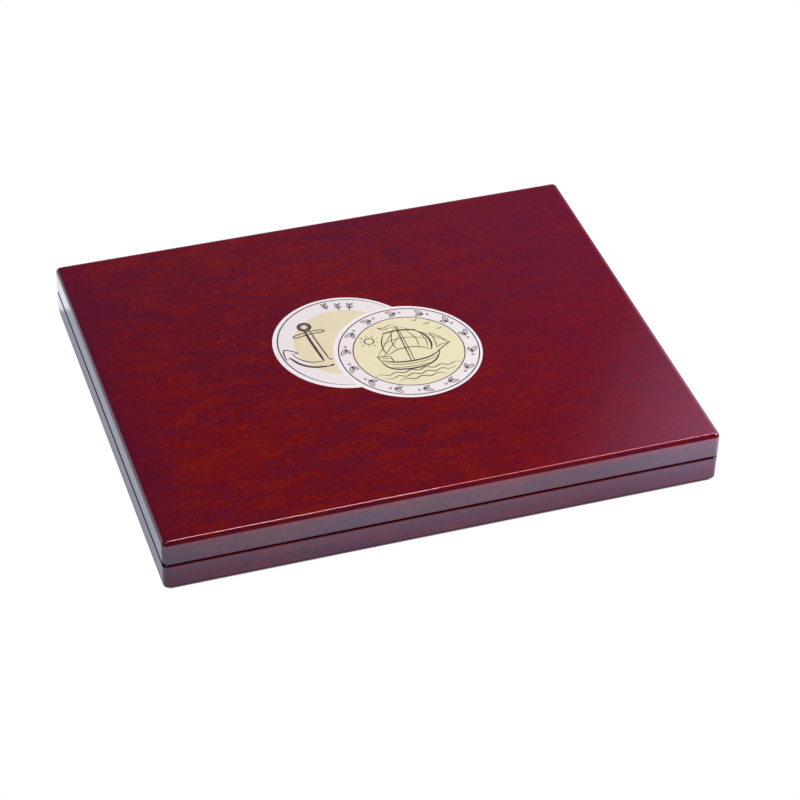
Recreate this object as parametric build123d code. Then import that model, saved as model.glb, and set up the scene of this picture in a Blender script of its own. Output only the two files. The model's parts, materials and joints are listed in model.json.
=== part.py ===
from build123d import *

import os

# Millimetres. +Z is up and the front of the case faces -Y. The origin is the centre of the
# rectangle that the closed case stands on. The lid is drawn closed.

# --- the closed case, outside ---
CASE_WIDTH = 305.0
CASE_DEPTH = 250.0
CASE_HEIGHT = 31.2
PARTING_Z = 15.95  # the plane between the two rims, which also holds the hinge axis
RIM_GAP = 0.3  # air between the closed rims
CORNER_RADIUS = 3.0  # the four upright corners
TOP_EDGE_RADIUS = 2.5  # round the edge of the lid's top
FOOT_EDGE_RADIUS = 2.0  # round the lower edge of the base
RIM_CHAMFER = 0.8  # both rims at the front and the sides
REAR_CHAMFER = 1.8  # both rims at the back; their outer arrises meet when the lid is 101 degrees open

# --- rails and panels ---
RAIL_WIDTH = 8.0
INNER_EASE = 0.4  # bevel along the inner edge of each rim
LID_PANEL_THICKNESS = 4.0
FLOOR_THICKNESS = 7.0
FLOOR_REBATE = 3.0  # how far the floor reaches under the rails
FLOOR_PLAY = 0.2  # on each side of the floor in its rebate

# --- felt under the case ---
FELT_THICKNESS = 1.0
FELT_PROUD = 0.2  # the felt stands this far below the rails
FELT_MARGIN = 1.0  # from the edge of the felt to the rebate's wall
FELT_CORNER_RADIUS = 2.0

# --- insert with pockets for coin capsules ---
CAPSULE_DIAMETER = 32.0
CAPSULE_PLAY = 0.5  # around a capsule in its pocket
POCKET_COLUMNS = 6
POCKET_ROWS = 5
POCKET_PITCH_X = 47.0
POCKET_PITCH_Y = 45.5
POCKET_LIP_RADIUS = 0.8  # rounded edge of each pocket's mouth
BACKING_THICKNESS = 1.0
TRAY_THICKNESS = 5.4
TRAY_PLAY = 0.4  # around the insert, inside the rails

# --- padded lining inside the lid ---
LINING_BOARD_THICKNESS = 1.0
LINING_BOARD_MARGIN = 1.0  # from the board to the rails
PAD_THICKNESS = 4.5
PAD_MARGIN = 0.6  # from the pad to the rails
PAD_EDGE_RADIUS = 1.6

# --- magnets sunk in the front rims ---
MAGNET_RADIUS = 3.0
MAGNET_THICKNESS = 2.0
MAGNET_PLAY = 0.05
MAGNET_SPACING = 190.0

# --- butt hinges let into the rear rims ---
HINGE_SPACING = 190.0
HINGE_LENGTH = 28.0
BARREL_RADIUS = 1.6
PIN_RADIUS = 0.8
KNUCKLES = 5  # the base's leaf has the odd ones, the lid's leaf the even ones
KNUCKLE_GAP = 0.2
PRESS_PLAY = 0.02  # radial, around the pin in the base's knuckles
RUNNING_PLAY = 0.05  # radial, around the pin in the lid's knuckles
LEAF_THICKNESS = 0.9
LEAF_EDGE_MARGIN = 0.3  # from the leaf's free edge to the rail's inner face
LEAF_TO_BARREL = 0.2  # from the leaf's plate to the other leaf's knuckles
MORTISE_PLAY = 0.2

# --- countersunk hinge screws ---
SCREWS_PER_LEAF = 3
SCREW_PITCH = 9.0
SCREW_LENGTH = 6.0
SCREW_RADIUS = 0.8
SCREW_HEAD_RADIUS = 1.5
SCREW_HEAD_HEIGHT = 0.7
SCREW_SLOT_WIDTH = 0.4
SCREW_SLOT_DEPTH = 0.3
SCREW_PLAY = 0.02

# --- pair of round emblems let flush into the lid ---
EMBLEM_RADIUS = 41.2
EMBLEM_THICKNESS = 0.25
EMBLEM_PLAY = 0.05
FRONT_EMBLEM_CENTRE = (15.9, -7.8)
REAR_EMBLEM_CENTRE = (-13.8, 9.5)

# --- worked out from the above ---
BASE_LOW = FELT_PROUD
BASE_HIGH = PARTING_Z - RIM_GAP / 2
LID_LOW = PARTING_Z + RIM_GAP / 2
LID_PANEL_LOW = CASE_HEIGHT - LID_PANEL_THICKNESS
FLOOR_LOW = FELT_THICKNESS
FLOOR_HIGH = FLOOR_LOW + FLOOR_THICKNESS
BACKING_HIGH = FLOOR_HIGH + BACKING_THICKNESS
INNER_WIDTH = CASE_WIDTH - 2 * RAIL_WIDTH
INNER_DEPTH = CASE_DEPTH - 2 * RAIL_WIDTH
REBATE_WIDTH = INNER_WIDTH + 2 * FLOOR_REBATE
REBATE_DEPTH = INNER_DEPTH + 2 * FLOOR_REBATE
HINGE_Y = CASE_DEPTH / 2 - BARREL_RADIUS
LEAF_REACH = HINGE_Y - INNER_DEPTH / 2 - LEAF_EDGE_MARGIN
PLATE_NEAR = BARREL_RADIUS + LEAF_TO_BARREL
SCREW_Y = -(LEAF_REACH + PLATE_NEAR) / 2  # from the hinge axis
MAGNET_Y = -(CASE_DEPTH / 2 - RIM_CHAMFER + INNER_DEPTH / 2 + INNER_EASE) / 2
OVERSIZE = 1.0  # how far a cutting shape runs past what it cuts


def slab(width, depth, low, high):
    """A plain rectangular block centred on the Z axis."""
    return Pos(0, 0, low) * extrude(Rectangle(width, depth), high - low)


def rounded_slab(width, depth, radius, low, high):
    """A block with rounded upright corners, centred on the Z axis."""
    return Pos(0, 0, low) * extrude(RectangleRounded(width, depth, radius), high - low)


def disc(radius, low, high, centre=(0.0, 0.0)):
    """An upright cylinder between two heights."""
    return Pos(centre[0], centre[1], low) * extrude(Circle(radius), high - low)


def bar_along_x(radius, length, y=0.0, z=0.0):
    """A cylinder that lies along X, centred on x = 0."""
    return Pos(-length / 2, y, z) * extrude(Plane.YZ * Circle(radius), length)


def mirrored(shape):
    """The shape turned from the base's side of the hinge axis to the lid's side."""
    return mirror(shape, about=Plane.XY)


def rear_wedge(rim_z, into):
    """What the rear chamfer takes off a rim; into is 1 where the rim faces up, -1 where down."""
    back, past = CASE_DEPTH / 2, OVERSIZE
    corners = [
        (back - REAR_CHAMFER - past, rim_z + into * past),
        (back + past, rim_z - into * (REAR_CHAMFER + past)),
        (back + past, rim_z + into * past),
    ]
    face = Plane.YZ * make_face(Polyline(*corners, close=True))
    length = CASE_WIDTH + 2 * OVERSIZE
    return Pos(-length / 2, 0, 0) * extrude(face, length)


def eased(ring, facing):
    """The ring with the inner edge of its rim bevelled; facing is +1 or -1 along Z."""
    rim = ring.faces().sort_by(Axis.Z)[-1 if facing > 0 else 0]
    return chamfer(rim.inner_wires()[0].edges(), INNER_EASE)


def base_ring():
    """The base's four rails as one ring, before the mitres are cut."""
    ring = rounded_slab(CASE_WIDTH, CASE_DEPTH, CORNER_RADIUS, BASE_LOW, BASE_HIGH)
    ring = fillet(ring.edges().group_by(Axis.Z)[0], FOOT_EDGE_RADIUS)
    ring = chamfer(ring.edges().group_by(Axis.Z)[-1], RIM_CHAMFER)
    ring -= slab(INNER_WIDTH, INNER_DEPTH, BASE_LOW - OVERSIZE, BASE_HIGH + OVERSIZE)
    ring = eased(ring, 1)
    ring -= slab(REBATE_WIDTH, REBATE_DEPTH, BASE_LOW - OVERSIZE, FLOOR_HIGH)
    return ring - rear_wedge(BASE_HIGH, 1)


def lid_block():
    """The closed outer form of the lid, without its hollow."""
    block = rounded_slab(CASE_WIDTH, CASE_DEPTH, CORNER_RADIUS, LID_LOW, CASE_HEIGHT)
    block = fillet(block.edges().group_by(Axis.Z)[-1], TOP_EDGE_RADIUS)
    block = chamfer(block.edges().group_by(Axis.Z)[0], RIM_CHAMFER)
    return block - rear_wedge(LID_LOW, -1)


def lid_ring():
    """The lid's four rails as one ring, before the mitres are cut."""
    ring = lid_block() & slab(
        CASE_WIDTH + OVERSIZE, CASE_DEPTH + OVERSIZE, LID_LOW - OVERSIZE, LID_PANEL_LOW
    )
    ring -= slab(INNER_WIDTH, INNER_DEPTH, LID_LOW - OVERSIZE, CASE_HEIGHT)
    return eased(ring, -1)


def mitre_wedge(side):
    """The quarter of the plan that one rail fills, bounded by 45 degree mitres."""
    x, y, reach = CASE_WIDTH / 2, CASE_DEPTH / 2, 2 * RAIL_WIDTH
    outer = {
        "front": [(-x, -y), (x, -y)],
        "right": [(x, -y), (x, y)],
        "rear": [(x, y), (-x, y)],
        "left": [(-x, y), (-x, -y)],
    }[side]
    inner = [
        (px - reach * (1 if px > 0 else -1), py - reach * (1 if py > 0 else -1))
        for px, py in reversed(outer)
    ]
    plan = make_face(Polyline(*outer, *inner, close=True))
    return Pos(0, 0, -OVERSIZE) * extrude(plan, CASE_HEIGHT + 2 * OVERSIZE)


def magnet_places():
    """The places of the two magnets along the front rim."""
    return [(sign * MAGNET_SPACING / 2, MAGNET_Y) for sign in (-1, 1)]


def hinge_places():
    """The centre of each hinge along the rear rim, named by its side."""
    return {"left": -HINGE_SPACING / 2, "right": HINGE_SPACING / 2}


def screw_places():
    """The places of one leaf's screws, from the middle of the hinge axis."""
    middle = (SCREWS_PER_LEAF - 1) / 2
    return [((i - middle) * SCREW_PITCH, SCREW_Y) for i in range(SCREWS_PER_LEAF)]


def magnets(low, high):
    """The pair of disc magnets that one rim holds, as separate solids."""
    return Compound([disc(MAGNET_RADIUS, low, high, place) for place in magnet_places()])


def magnet_sockets(low, high):
    """The blind holes for the magnets."""
    radius = MAGNET_RADIUS + MAGNET_PLAY
    return [disc(radius, low, high, place) for place in magnet_places()]


# The hinge is drawn for the base, about an axis at the origin, with the rim below the axis.
# The lid's half is the same shape mirrored in Z.


def knuckle_spans(parity):
    """The stretches along X of every second knuckle, from the first (0) or the second (1)."""
    pitch = HINGE_LENGTH / KNUCKLES
    spans = []
    for i in range(parity, KNUCKLES, 2):
        low = -HINGE_LENGTH / 2 + i * pitch
        spans.append((low + KNUCKLE_GAP / 2, low + pitch - KNUCKLE_GAP / 2))
    return spans


def hinge_leaf(parity, pin_play):
    """One leaf: a plate with countersunk holes, joined to its own knuckles."""
    top, low = -RIM_GAP / 2, -RIM_GAP / 2 - LEAF_THICKNESS
    plate = Pos(0, -(LEAF_REACH + PLATE_NEAR) / 2, (top + low) / 2) * Box(
        HINGE_LENGTH, LEAF_REACH - PLATE_NEAR, LEAF_THICKNESS
    )
    leaf = plate
    for x0, x1 in knuckle_spans(parity):
        middle, length = (x0 + x1) / 2, x1 - x0
        web = Pos(middle, -PLATE_NEAR / 2, (top + low) / 2) * Box(
            length, PLATE_NEAR, LEAF_THICKNESS
        )
        leaf += web + Pos(middle, 0, 0) * bar_along_x(BARREL_RADIUS, length)
    leaf -= bar_along_x(PIN_RADIUS + pin_play, HINGE_LENGTH + OVERSIZE)
    for x, y in screw_places():
        leaf -= Pos(x, y, top) * screw_blank(SCREW_PLAY)
    return leaf


def screw_blank(play=0.0):
    """The screw's outline below z = 0, made larger by the play around it."""
    shank = SCREW_RADIUS + play
    head = SCREW_HEAD_RADIUS + play
    outline = Polyline(
        (0, 0),
        (head, 0),
        (shank, -SCREW_HEAD_HEIGHT - play),
        (shank, -SCREW_LENGTH + SCREW_RADIUS - play),
        (0, -SCREW_LENGTH - play),
        close=True,
    )
    return revolve(Plane.XZ * make_face(outline), Axis.Z)


def screw():
    """A countersunk slotted screw, its head level with z = 0."""
    slot = Pos(0, 0, -SCREW_SLOT_DEPTH / 2) * Box(
        3 * SCREW_HEAD_RADIUS, SCREW_SLOT_WIDTH, SCREW_SLOT_DEPTH
    )
    return screw_blank() - slot


def leaf_screws():
    """The screws of both of the base's leaves, as separate solids about the hinge axis."""
    one = screw()
    return Compound(
        [
            Pos(hinge_x + x, y, -RIM_GAP / 2) * one
            for hinge_x in hinge_places().values()
            for x, y in screw_places()
        ]
    )


def hinge_mortise():
    """What a hinge needs cut out of the base's rear rim."""
    length = HINGE_LENGTH + 2 * MORTISE_PLAY
    depth = LEAF_REACH + LEAF_EDGE_MARGIN + OVERSIZE
    seat = Pos(0, -depth / 2, -LEAF_THICKNESS / 2 - RIM_GAP / 2) * Box(
        length, depth, LEAF_THICKNESS
    )
    cut = seat + bar_along_x(BARREL_RADIUS + MORTISE_PLAY, length)
    for x, y in screw_places():
        cut += Pos(x, y, -RIM_GAP / 2) * screw_blank(SCREW_PLAY)
    return cut


def at_hinge(x, shape):
    """The shape moved from the origin to the hinge axis at x."""
    return Pos(x, HINGE_Y, PARTING_Z) * shape


def rail(ring, side, cuts=()):
    """One mitred rail of a ring, with its sockets or mortises cut."""
    piece = ring & mitre_wedge(side)
    for cut in cuts:
        piece -= cut
    return piece


def base_rails():
    """The base's four rails by side."""
    ring = base_ring()
    sockets = magnet_sockets(BASE_HIGH - MAGNET_THICKNESS, BASE_HIGH + OVERSIZE)
    mortises = [at_hinge(x, hinge_mortise()) for x in hinge_places().values()]
    return {
        "front": rail(ring, "front", sockets),
        "rear": rail(ring, "rear", mortises),
        "left": rail(ring, "left"),
        "right": rail(ring, "right"),
    }


def lid_rails():
    """The lid's four rails by side."""
    ring = lid_ring()
    sockets = magnet_sockets(LID_LOW - OVERSIZE, LID_LOW + MAGNET_THICKNESS)
    mortises = [at_hinge(x, mirrored(hinge_mortise())) for x in hinge_places().values()]
    return {
        "front": rail(ring, "front", sockets),
        "rear": rail(ring, "rear", mortises),
        "left": rail(ring, "left"),
        "right": rail(ring, "right"),
    }


def emblem(centre, grow=0.0):
    """A thin round plate that lies level with the lid's top."""
    return disc(EMBLEM_RADIUS + grow, CASE_HEIGHT - EMBLEM_THICKNESS, CASE_HEIGHT, centre)


def rear_emblem():
    """The rear emblem, cut away where the front one lies over it."""
    return emblem(REAR_EMBLEM_CENTRE) - emblem(FRONT_EMBLEM_CENTRE, EMBLEM_PLAY)


def lid_panel():
    """The lid's top with its rounded edge and the shallow recess for the emblems."""
    size = (CASE_WIDTH + OVERSIZE, CASE_DEPTH + OVERSIZE)
    panel = lid_block() & slab(*size, LID_PANEL_LOW, CASE_HEIGHT + OVERSIZE)
    for centre in (FRONT_EMBLEM_CENTRE, REAR_EMBLEM_CENTRE):
        panel -= emblem(centre, EMBLEM_PLAY)
    return panel


def base_floor():
    """The floor panel, let into the rails from below."""
    width = REBATE_WIDTH - 2 * FLOOR_PLAY
    return slab(width, REBATE_DEPTH - 2 * FLOOR_PLAY, FLOOR_LOW, FLOOR_HIGH)


def base_felt():
    """The felt sheet glued under the floor, which the case stands on."""
    width = REBATE_WIDTH - 2 * FELT_MARGIN
    depth = REBATE_DEPTH - 2 * FELT_MARGIN
    return rounded_slab(width, depth, FELT_CORNER_RADIUS, 0.0, FELT_THICKNESS)


def pocket_places():
    """The centres of the pockets, row by row from the front."""
    return GridLocations(POCKET_PITCH_X, POCKET_PITCH_Y, POCKET_COLUMNS, POCKET_ROWS)


def tray_board():
    """The board with a round pocket for each capsule."""
    top = BACKING_HIGH + TRAY_THICKNESS
    width = INNER_WIDTH - 2 * TRAY_PLAY
    depth = INNER_DEPTH - 2 * TRAY_PLAY
    radius = CAPSULE_DIAMETER / 2 + CAPSULE_PLAY
    plan = Rectangle(width, depth) - pocket_places() * Circle(radius)
    board = Pos(0, 0, BACKING_HIGH) * extrude(plan, TRAY_THICKNESS)
    mouths = board.edges().filter_by(GeomType.CIRCLE).filter_by_position(Axis.Z, top, top)
    return fillet(mouths, POCKET_LIP_RADIUS)


def tray_backing():
    """The thin sheet under the board that closes the pockets."""
    width = INNER_WIDTH - 2 * TRAY_PLAY
    return slab(width, INNER_DEPTH - 2 * TRAY_PLAY, FLOOR_HIGH, BACKING_HIGH)


def lining_board():
    """The card that carries the lid's pad."""
    width = INNER_WIDTH - 2 * LINING_BOARD_MARGIN
    depth = INNER_DEPTH - 2 * LINING_BOARD_MARGIN
    return slab(width, depth, LID_PANEL_LOW - LINING_BOARD_THICKNESS, LID_PANEL_LOW)


def lining_pad():
    """The soft pad under the lining board, with rounded lower edges."""
    high = LID_PANEL_LOW - LINING_BOARD_THICKNESS
    width = INNER_WIDTH - 2 * PAD_MARGIN
    depth = INNER_DEPTH - 2 * PAD_MARGIN
    pad = slab(width, depth, high - PAD_THICKNESS, high)
    return fillet(pad.edges().group_by(Axis.Z)[0], PAD_EDGE_RADIUS)


def hinge_parts():
    """Both hinges: a leaf in each rim and a pin, each under its own name."""
    base_leaf = hinge_leaf(0, PRESS_PLAY)
    lid_leaf = mirrored(hinge_leaf(1, RUNNING_PLAY))
    pin = bar_along_x(PIN_RADIUS, HINGE_LENGTH)
    parts = {}
    for side, x in hinge_places().items():
        parts[f"hinge_{side}_base_leaf"] = at_hinge(x, base_leaf)
        parts[f"hinge_{side}_lid_leaf"] = at_hinge(x, lid_leaf)
        parts[f"hinge_{side}_pin"] = at_hinge(x, pin)
    parts["base_hinge_screws"] = at_hinge(0, leaf_screws())
    parts["lid_hinge_screws"] = at_hinge(0, mirrored(leaf_screws()))
    return parts


def all_parts():
    """Every piece of the case by its node's name."""
    parts = {f"base_{side}_rail": shape for side, shape in base_rails().items()}
    parts |= {f"lid_{side}_rail": shape for side, shape in lid_rails().items()}
    parts |= hinge_parts()
    parts["base_floor"] = base_floor()
    parts["base_felt"] = base_felt()
    parts["tray_board"] = tray_board()
    parts["tray_backing"] = tray_backing()
    parts["base_magnets"] = magnets(BASE_HIGH - MAGNET_THICKNESS, BASE_HIGH)
    parts["lid_panel"] = lid_panel()
    parts["lining_board"] = lining_board()
    parts["lining_pad"] = lining_pad()
    parts["lid_magnets"] = magnets(LID_LOW, LID_LOW + MAGNET_THICKNESS)
    parts["front_emblem"] = emblem(FRONT_EMBLEM_CENTRE)
    parts["rear_emblem"] = rear_emblem()
    return parts


os.makedirs("parts", exist_ok=True)
for name, shape in all_parts().items():
    export_step(shape, f"parts/{name}.step")
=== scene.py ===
"""A coin display case: lacquered mahogany box, hinged lid with two emblems, pocketed tray, padded lining."""

from __future__ import annotations

import json
import logging
import math
import random
from dataclasses import dataclass
from enum import Enum
from typing import Callable, Iterable, Sequence, Union

import bmesh
import bpy
from mathutils import Matrix, Vector


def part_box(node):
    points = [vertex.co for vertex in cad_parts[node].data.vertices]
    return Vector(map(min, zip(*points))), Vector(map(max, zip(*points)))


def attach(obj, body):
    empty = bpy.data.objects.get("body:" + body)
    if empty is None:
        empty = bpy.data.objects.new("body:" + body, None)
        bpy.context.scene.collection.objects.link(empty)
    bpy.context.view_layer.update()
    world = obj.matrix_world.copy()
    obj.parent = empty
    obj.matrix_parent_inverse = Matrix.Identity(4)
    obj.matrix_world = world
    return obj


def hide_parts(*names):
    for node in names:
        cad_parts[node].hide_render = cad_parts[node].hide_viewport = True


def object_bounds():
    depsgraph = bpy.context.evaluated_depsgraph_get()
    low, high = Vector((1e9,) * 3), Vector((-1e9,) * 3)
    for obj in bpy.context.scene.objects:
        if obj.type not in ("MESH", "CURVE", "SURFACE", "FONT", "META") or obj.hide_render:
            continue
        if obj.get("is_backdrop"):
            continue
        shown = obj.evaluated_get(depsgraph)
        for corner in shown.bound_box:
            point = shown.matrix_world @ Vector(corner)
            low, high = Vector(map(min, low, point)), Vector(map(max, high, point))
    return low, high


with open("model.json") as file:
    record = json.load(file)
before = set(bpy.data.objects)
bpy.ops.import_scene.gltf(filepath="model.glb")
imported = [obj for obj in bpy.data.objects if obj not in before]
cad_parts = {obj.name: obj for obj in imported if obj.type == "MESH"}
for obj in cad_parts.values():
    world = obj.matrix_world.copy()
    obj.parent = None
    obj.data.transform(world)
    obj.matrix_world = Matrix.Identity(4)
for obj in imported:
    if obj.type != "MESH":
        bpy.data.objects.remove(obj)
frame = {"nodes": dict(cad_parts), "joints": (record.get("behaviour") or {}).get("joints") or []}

LOG = logging.getLogger("coin_case")

MM = 0.001  # metres in a millimetre; shapes are worked in millimetres and finished in metres
NEAR = 1e-3  # millimetres within which two heights count as the same
SHARP_ANGLE = math.radians(32)
EVEN_SHADING = 60  # how strongly large faces lead the shading of their edges
HALF_ROOT = math.sqrt(0.5)

Triple = tuple[float, float, float]
Colour = Triple  # linear red, green and blue
Point = tuple[float, float]
Stops = tuple[tuple[float, Colour], ...]
Number = Union[int, float]
Vert = bmesh.types.BMVert
Edge = bmesh.types.BMEdge


def lerp(a: float, b: float, t: float) -> float:
    """The value a share t of the way from a to b."""
    return a + (b - a) * t


def corners(node: str) -> tuple[Vector, Vector]:
    """The lowest and highest corner of a solid of the frame.

    Args:
        node: The solid's name.

    Returns:
        Both corners in millimetres.
    """
    low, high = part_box(node)
    return low / MM, high / MM


def direction(bearing: float, height: float) -> Vector:
    """The direction towards a bearing, counted from +Y towards +X, and a height, in degrees."""
    turn, rise = math.radians(bearing), math.radians(height)
    return Vector((math.sin(turn) * math.cos(rise), math.cos(turn) * math.cos(rise), math.sin(rise)))


def in_scene(thing: bpy.types.Object) -> bpy.types.Object:
    """Puts an object into the scene and hands it back."""
    bpy.context.scene.collection.objects.link(thing)
    return thing


# --- Shader trees ---


class Sock:
    """An output socket of a shader tree that takes part in arithmetic."""

    def __init__(self, tree: "Tree", socket: bpy.types.NodeSocket) -> None:
        """Keeps the tree and the socket."""
        self.tree = tree
        self.socket = socket

    def math(self, operation: str, *others: "Value") -> "Sock":
        """A Math node on this socket and others.

        Args:
            operation: The node's operation.
            others: The further operands.

        Returns:
            The node's result.
        """
        operands = dict(enumerate((self, *others)))
        return self.tree.node("Math", {"operation": operation}, operands)

    def __add__(self, other: "Value") -> "Sock":
        """This plus other."""
        return self.math("ADD", other)

    def __radd__(self, other: "Value") -> "Sock":
        """Other plus this."""
        return self.math("ADD", other)

    def __sub__(self, other: "Value") -> "Sock":
        """This minus other."""
        return self.math("SUBTRACT", other)

    def __rsub__(self, other: Number) -> "Sock":
        """Other minus this."""
        return self.tree.node("Math", {"operation": "SUBTRACT"}, {0: other, 1: self})

    def __mul__(self, other: "Value") -> "Sock":
        """This times other."""
        return self.math("MULTIPLY", other)

    def __rmul__(self, other: "Value") -> "Sock":
        """Other times this."""
        return self.math("MULTIPLY", other)

    def __truediv__(self, other: "Value") -> "Sock":
        """This over other."""
        return self.math("DIVIDE", other)

    def __pow__(self, other: "Value") -> "Sock":
        """This to the power of other."""
        return self.math("POWER", other)

    def rise(self, low: float, high: float) -> "Sock":
        """A smooth step of this value.

        Args:
            low: Where the step leaves 0.
            high: Where it reaches 1; below low for a step that falls.

        Returns:
            The step, from 0 to 1.
        """
        settings = {"interpolation_type": "SMOOTHSTEP"}
        if high > low:
            return self.tree.node("MapRange", settings, {0: self, 1: low, 2: high, 3: 0.0, 4: 1.0})
        return self.tree.node("MapRange", settings, {0: self, 1: high, 2: low, 3: 1.0, 4: 0.0})

    def past(self, edge: float, span: tuple[float, float]) -> "Sock":
        """A smooth step of this value, whose ends are counted from an edge."""
        return self.rise(edge + span[0], edge + span[1])


Value = Union[Sock, Number, Colour]


class Tree:
    """The shader tree of one material."""

    def __init__(self, name: str) -> None:
        """Makes an empty material.

        Args:
            name: Its name.
        """
        self.material = bpy.data.materials.new(name)
        self.material.use_nodes = True
        self.nodes = self.material.node_tree.nodes
        self.links = self.material.node_tree.links
        self.nodes.clear()

    @classmethod
    def of(cls, node_tree: bpy.types.NodeTree) -> "Tree":
        """Takes over a tree that isn't a material's, and empties it.

        Args:
            node_tree: The tree, such as a world's.

        Returns:
            The empty tree.
        """
        tree = cls.__new__(cls)
        tree.nodes, tree.links = node_tree.nodes, node_tree.links
        tree.nodes.clear()
        return tree

    def node(
        self,
        kind: str,
        settings: dict[str, object] | None = None,
        inputs: dict[int | str, Value] | None = None,
        out: int | str = 0,
    ) -> Sock:
        """Adds a node.

        Args:
            kind: The node's type, without its ShaderNode prefix.
            settings: Its properties, and a ramp's stops as (position, colour) pairs.
            inputs: The values or links of its sockets, by number, identifier or name.
            out: The output to hand back.

        Returns:
            That output.
        """
        made = self.nodes.new(f"ShaderNode{kind}")
        for key, value in (settings or {}).items():
            if key == "stops":
                ramp = made.color_ramp.elements
                while len(ramp) < len(value):
                    ramp.new(0.5)
                for stop, (position, colour) in zip(ramp, value):
                    stop.position, stop.color = position, (*colour, 1.0)
            else:
                setattr(made, key, value)
        by_identifier = {socket.identifier: socket for socket in made.inputs}
        for key, value in (inputs or {}).items():
            socket = by_identifier.get(key) or made.inputs[key]
            if isinstance(value, Sock):
                self.links.new(value.socket, socket)
            elif socket.type == "RGBA" and len(value) == 3:
                socket.default_value = (*value, 1.0)
            else:
                socket.default_value = value
        by_identifier = {socket.identifier: socket for socket in made.outputs}
        return Sock(self, by_identifier.get(out) or made.outputs[out])

    def place(self, stretch: Triple = (1.0, 1.0, 1.0), turn: float = 0.0) -> Sock:
        """The place on the piece in millimetres, stretched and turned.

        Args:
            stretch: What each axis is multiplied by after the turn.
            turn: The turn about Z, in degrees.

        Returns:
            The coordinates as a vector.
        """
        inputs: dict[int | str, Value] = {
            "Vector": self.node("TexCoord", out="Object"),
            "Rotation": (0.0, 0.0, math.radians(turn)),
            "Scale": (1 / MM, 1 / MM, 1 / MM),
        }
        turned = self.node("Mapping", {"vector_type": "POINT"}, inputs)
        return self.times(turned, stretch)

    def times(self, vector: Sock, factors: Triple) -> Sock:
        """A vector with each of its parts multiplied."""
        return self.node("VectorMath", {"operation": "MULTIPLY"}, {0: vector, 1: factors})

    def noise(
        self, spot: Sock, size: float, detail: float = 2.0, roughness: float = 0.5, bend: float = 0.0
    ) -> Sock:
        """Soft noise of one feature size.

        Args:
            spot: Where it is read, in millimetres.
            size: How large its features are, in millimetres.
            detail: How many finer octaves it has.
            roughness: How strong those are.
            bend: How far it is distorted.

        Returns:
            The noise, from 0 to 1 and mostly near 0.5.
        """
        form: dict[int | str, Value] = {"Detail": detail, "Roughness": roughness, "Distortion": bend}
        return self.node("TexNoise", {}, {"Vector": spot, "Scale": 1 / size, **form})

    def mix(self, factor: Value, a: Value, b: Value) -> Sock:
        """A mix of two colours.

        Args:
            factor: The share of b.
            a: The first colour.
            b: The second colour.

        Returns:
            The mixed colour.
        """
        settings = {"data_type": "RGBA", "blend_type": "MIX", "clamp_factor": True}
        inputs = {"Factor_Float": factor, "A_Color": a, "B_Color": b}
        return self.node("Mix", settings, inputs, "Result_Color")

    def shades(self, value: Sock, stops: Stops) -> Sock:
        """A colour that changes smoothly from stop to stop.

        Args:
            value: What it depends on.
            stops: The values and their colours, in rising order.

        Returns:
            The colour.
        """
        shade: Sock | Colour = stops[0][1]
        for (low, _), (high, tint) in zip(stops, stops[1:]):
            shade = self.mix(value.rise(low, high), shade, tint)
        return shade

    def bump(self, height: Sock, depth: float, strength: float = 1.0, under: Sock | None = None) -> Sock:
        """A bumped normal.

        Args:
            height: The relief, from 0 to 1.
            depth: How deep the relief is, in millimetres.
            strength: How much of it counts.
            under: A bumped normal that this one adds to.

        Returns:
            The normal.
        """
        inputs: dict[int | str, Value] = {"Height": height, "Distance": depth * MM, "Strength": strength}
        if under is not None:
            inputs["Normal"] = under
        return self.node("Bump", {}, inputs)

    def axes(self, vector: Sock) -> list[Sock]:
        """The three parts of a vector."""
        parts = self.node("SeparateXYZ", {}, {0: vector}).socket.node.outputs
        return [Sock(self, parts[letter]) for letter in "XYZ"]

    def surface(
        self, colour: Sock, roughness: Sock, normal: Sock, more: dict[int | str, Value] | None = None
    ) -> bpy.types.Material:
        """Closes the tree with a Principled shader.

        Args:
            colour: The base colour.
            roughness: The roughness.
            normal: The bumped normal.
            more: The shader's further sockets.

        Returns:
            The finished material.
        """
        inputs = {"Base Color": colour, "Roughness": roughness, "Normal": normal, **(more or {})}
        self.close(self.node("BsdfPrincipled", {}, inputs))
        return self.material

    def close(self, shader: Sock) -> None:
        """Joins a shader to the material's output."""
        output = self.nodes.new("ShaderNodeOutputMaterial")
        self.links.new(shader.socket, output.inputs["Surface"])


# --- Finishes ---


class Grain(Enum):
    """Which way the veneer's grain runs."""

    ALONG_WIDTH = "x"
    ALONG_DEPTH = "y"


@dataclass(frozen=True)
class Layer:
    """A layer of noise in the veneer, in millimetres, drawn out along the grain.

    The share is how much it counts in the wood's tone, or as a mark over it. A mark begins to show
    at the first of its two noise values and is full at the second.
    """

    stretch: float
    size: float
    detail: float = 2.0
    roughness: float = 0.5
    bend: float = 0.0
    share: float = 1.0
    shows: Point = (0.0, 1.0)


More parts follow.
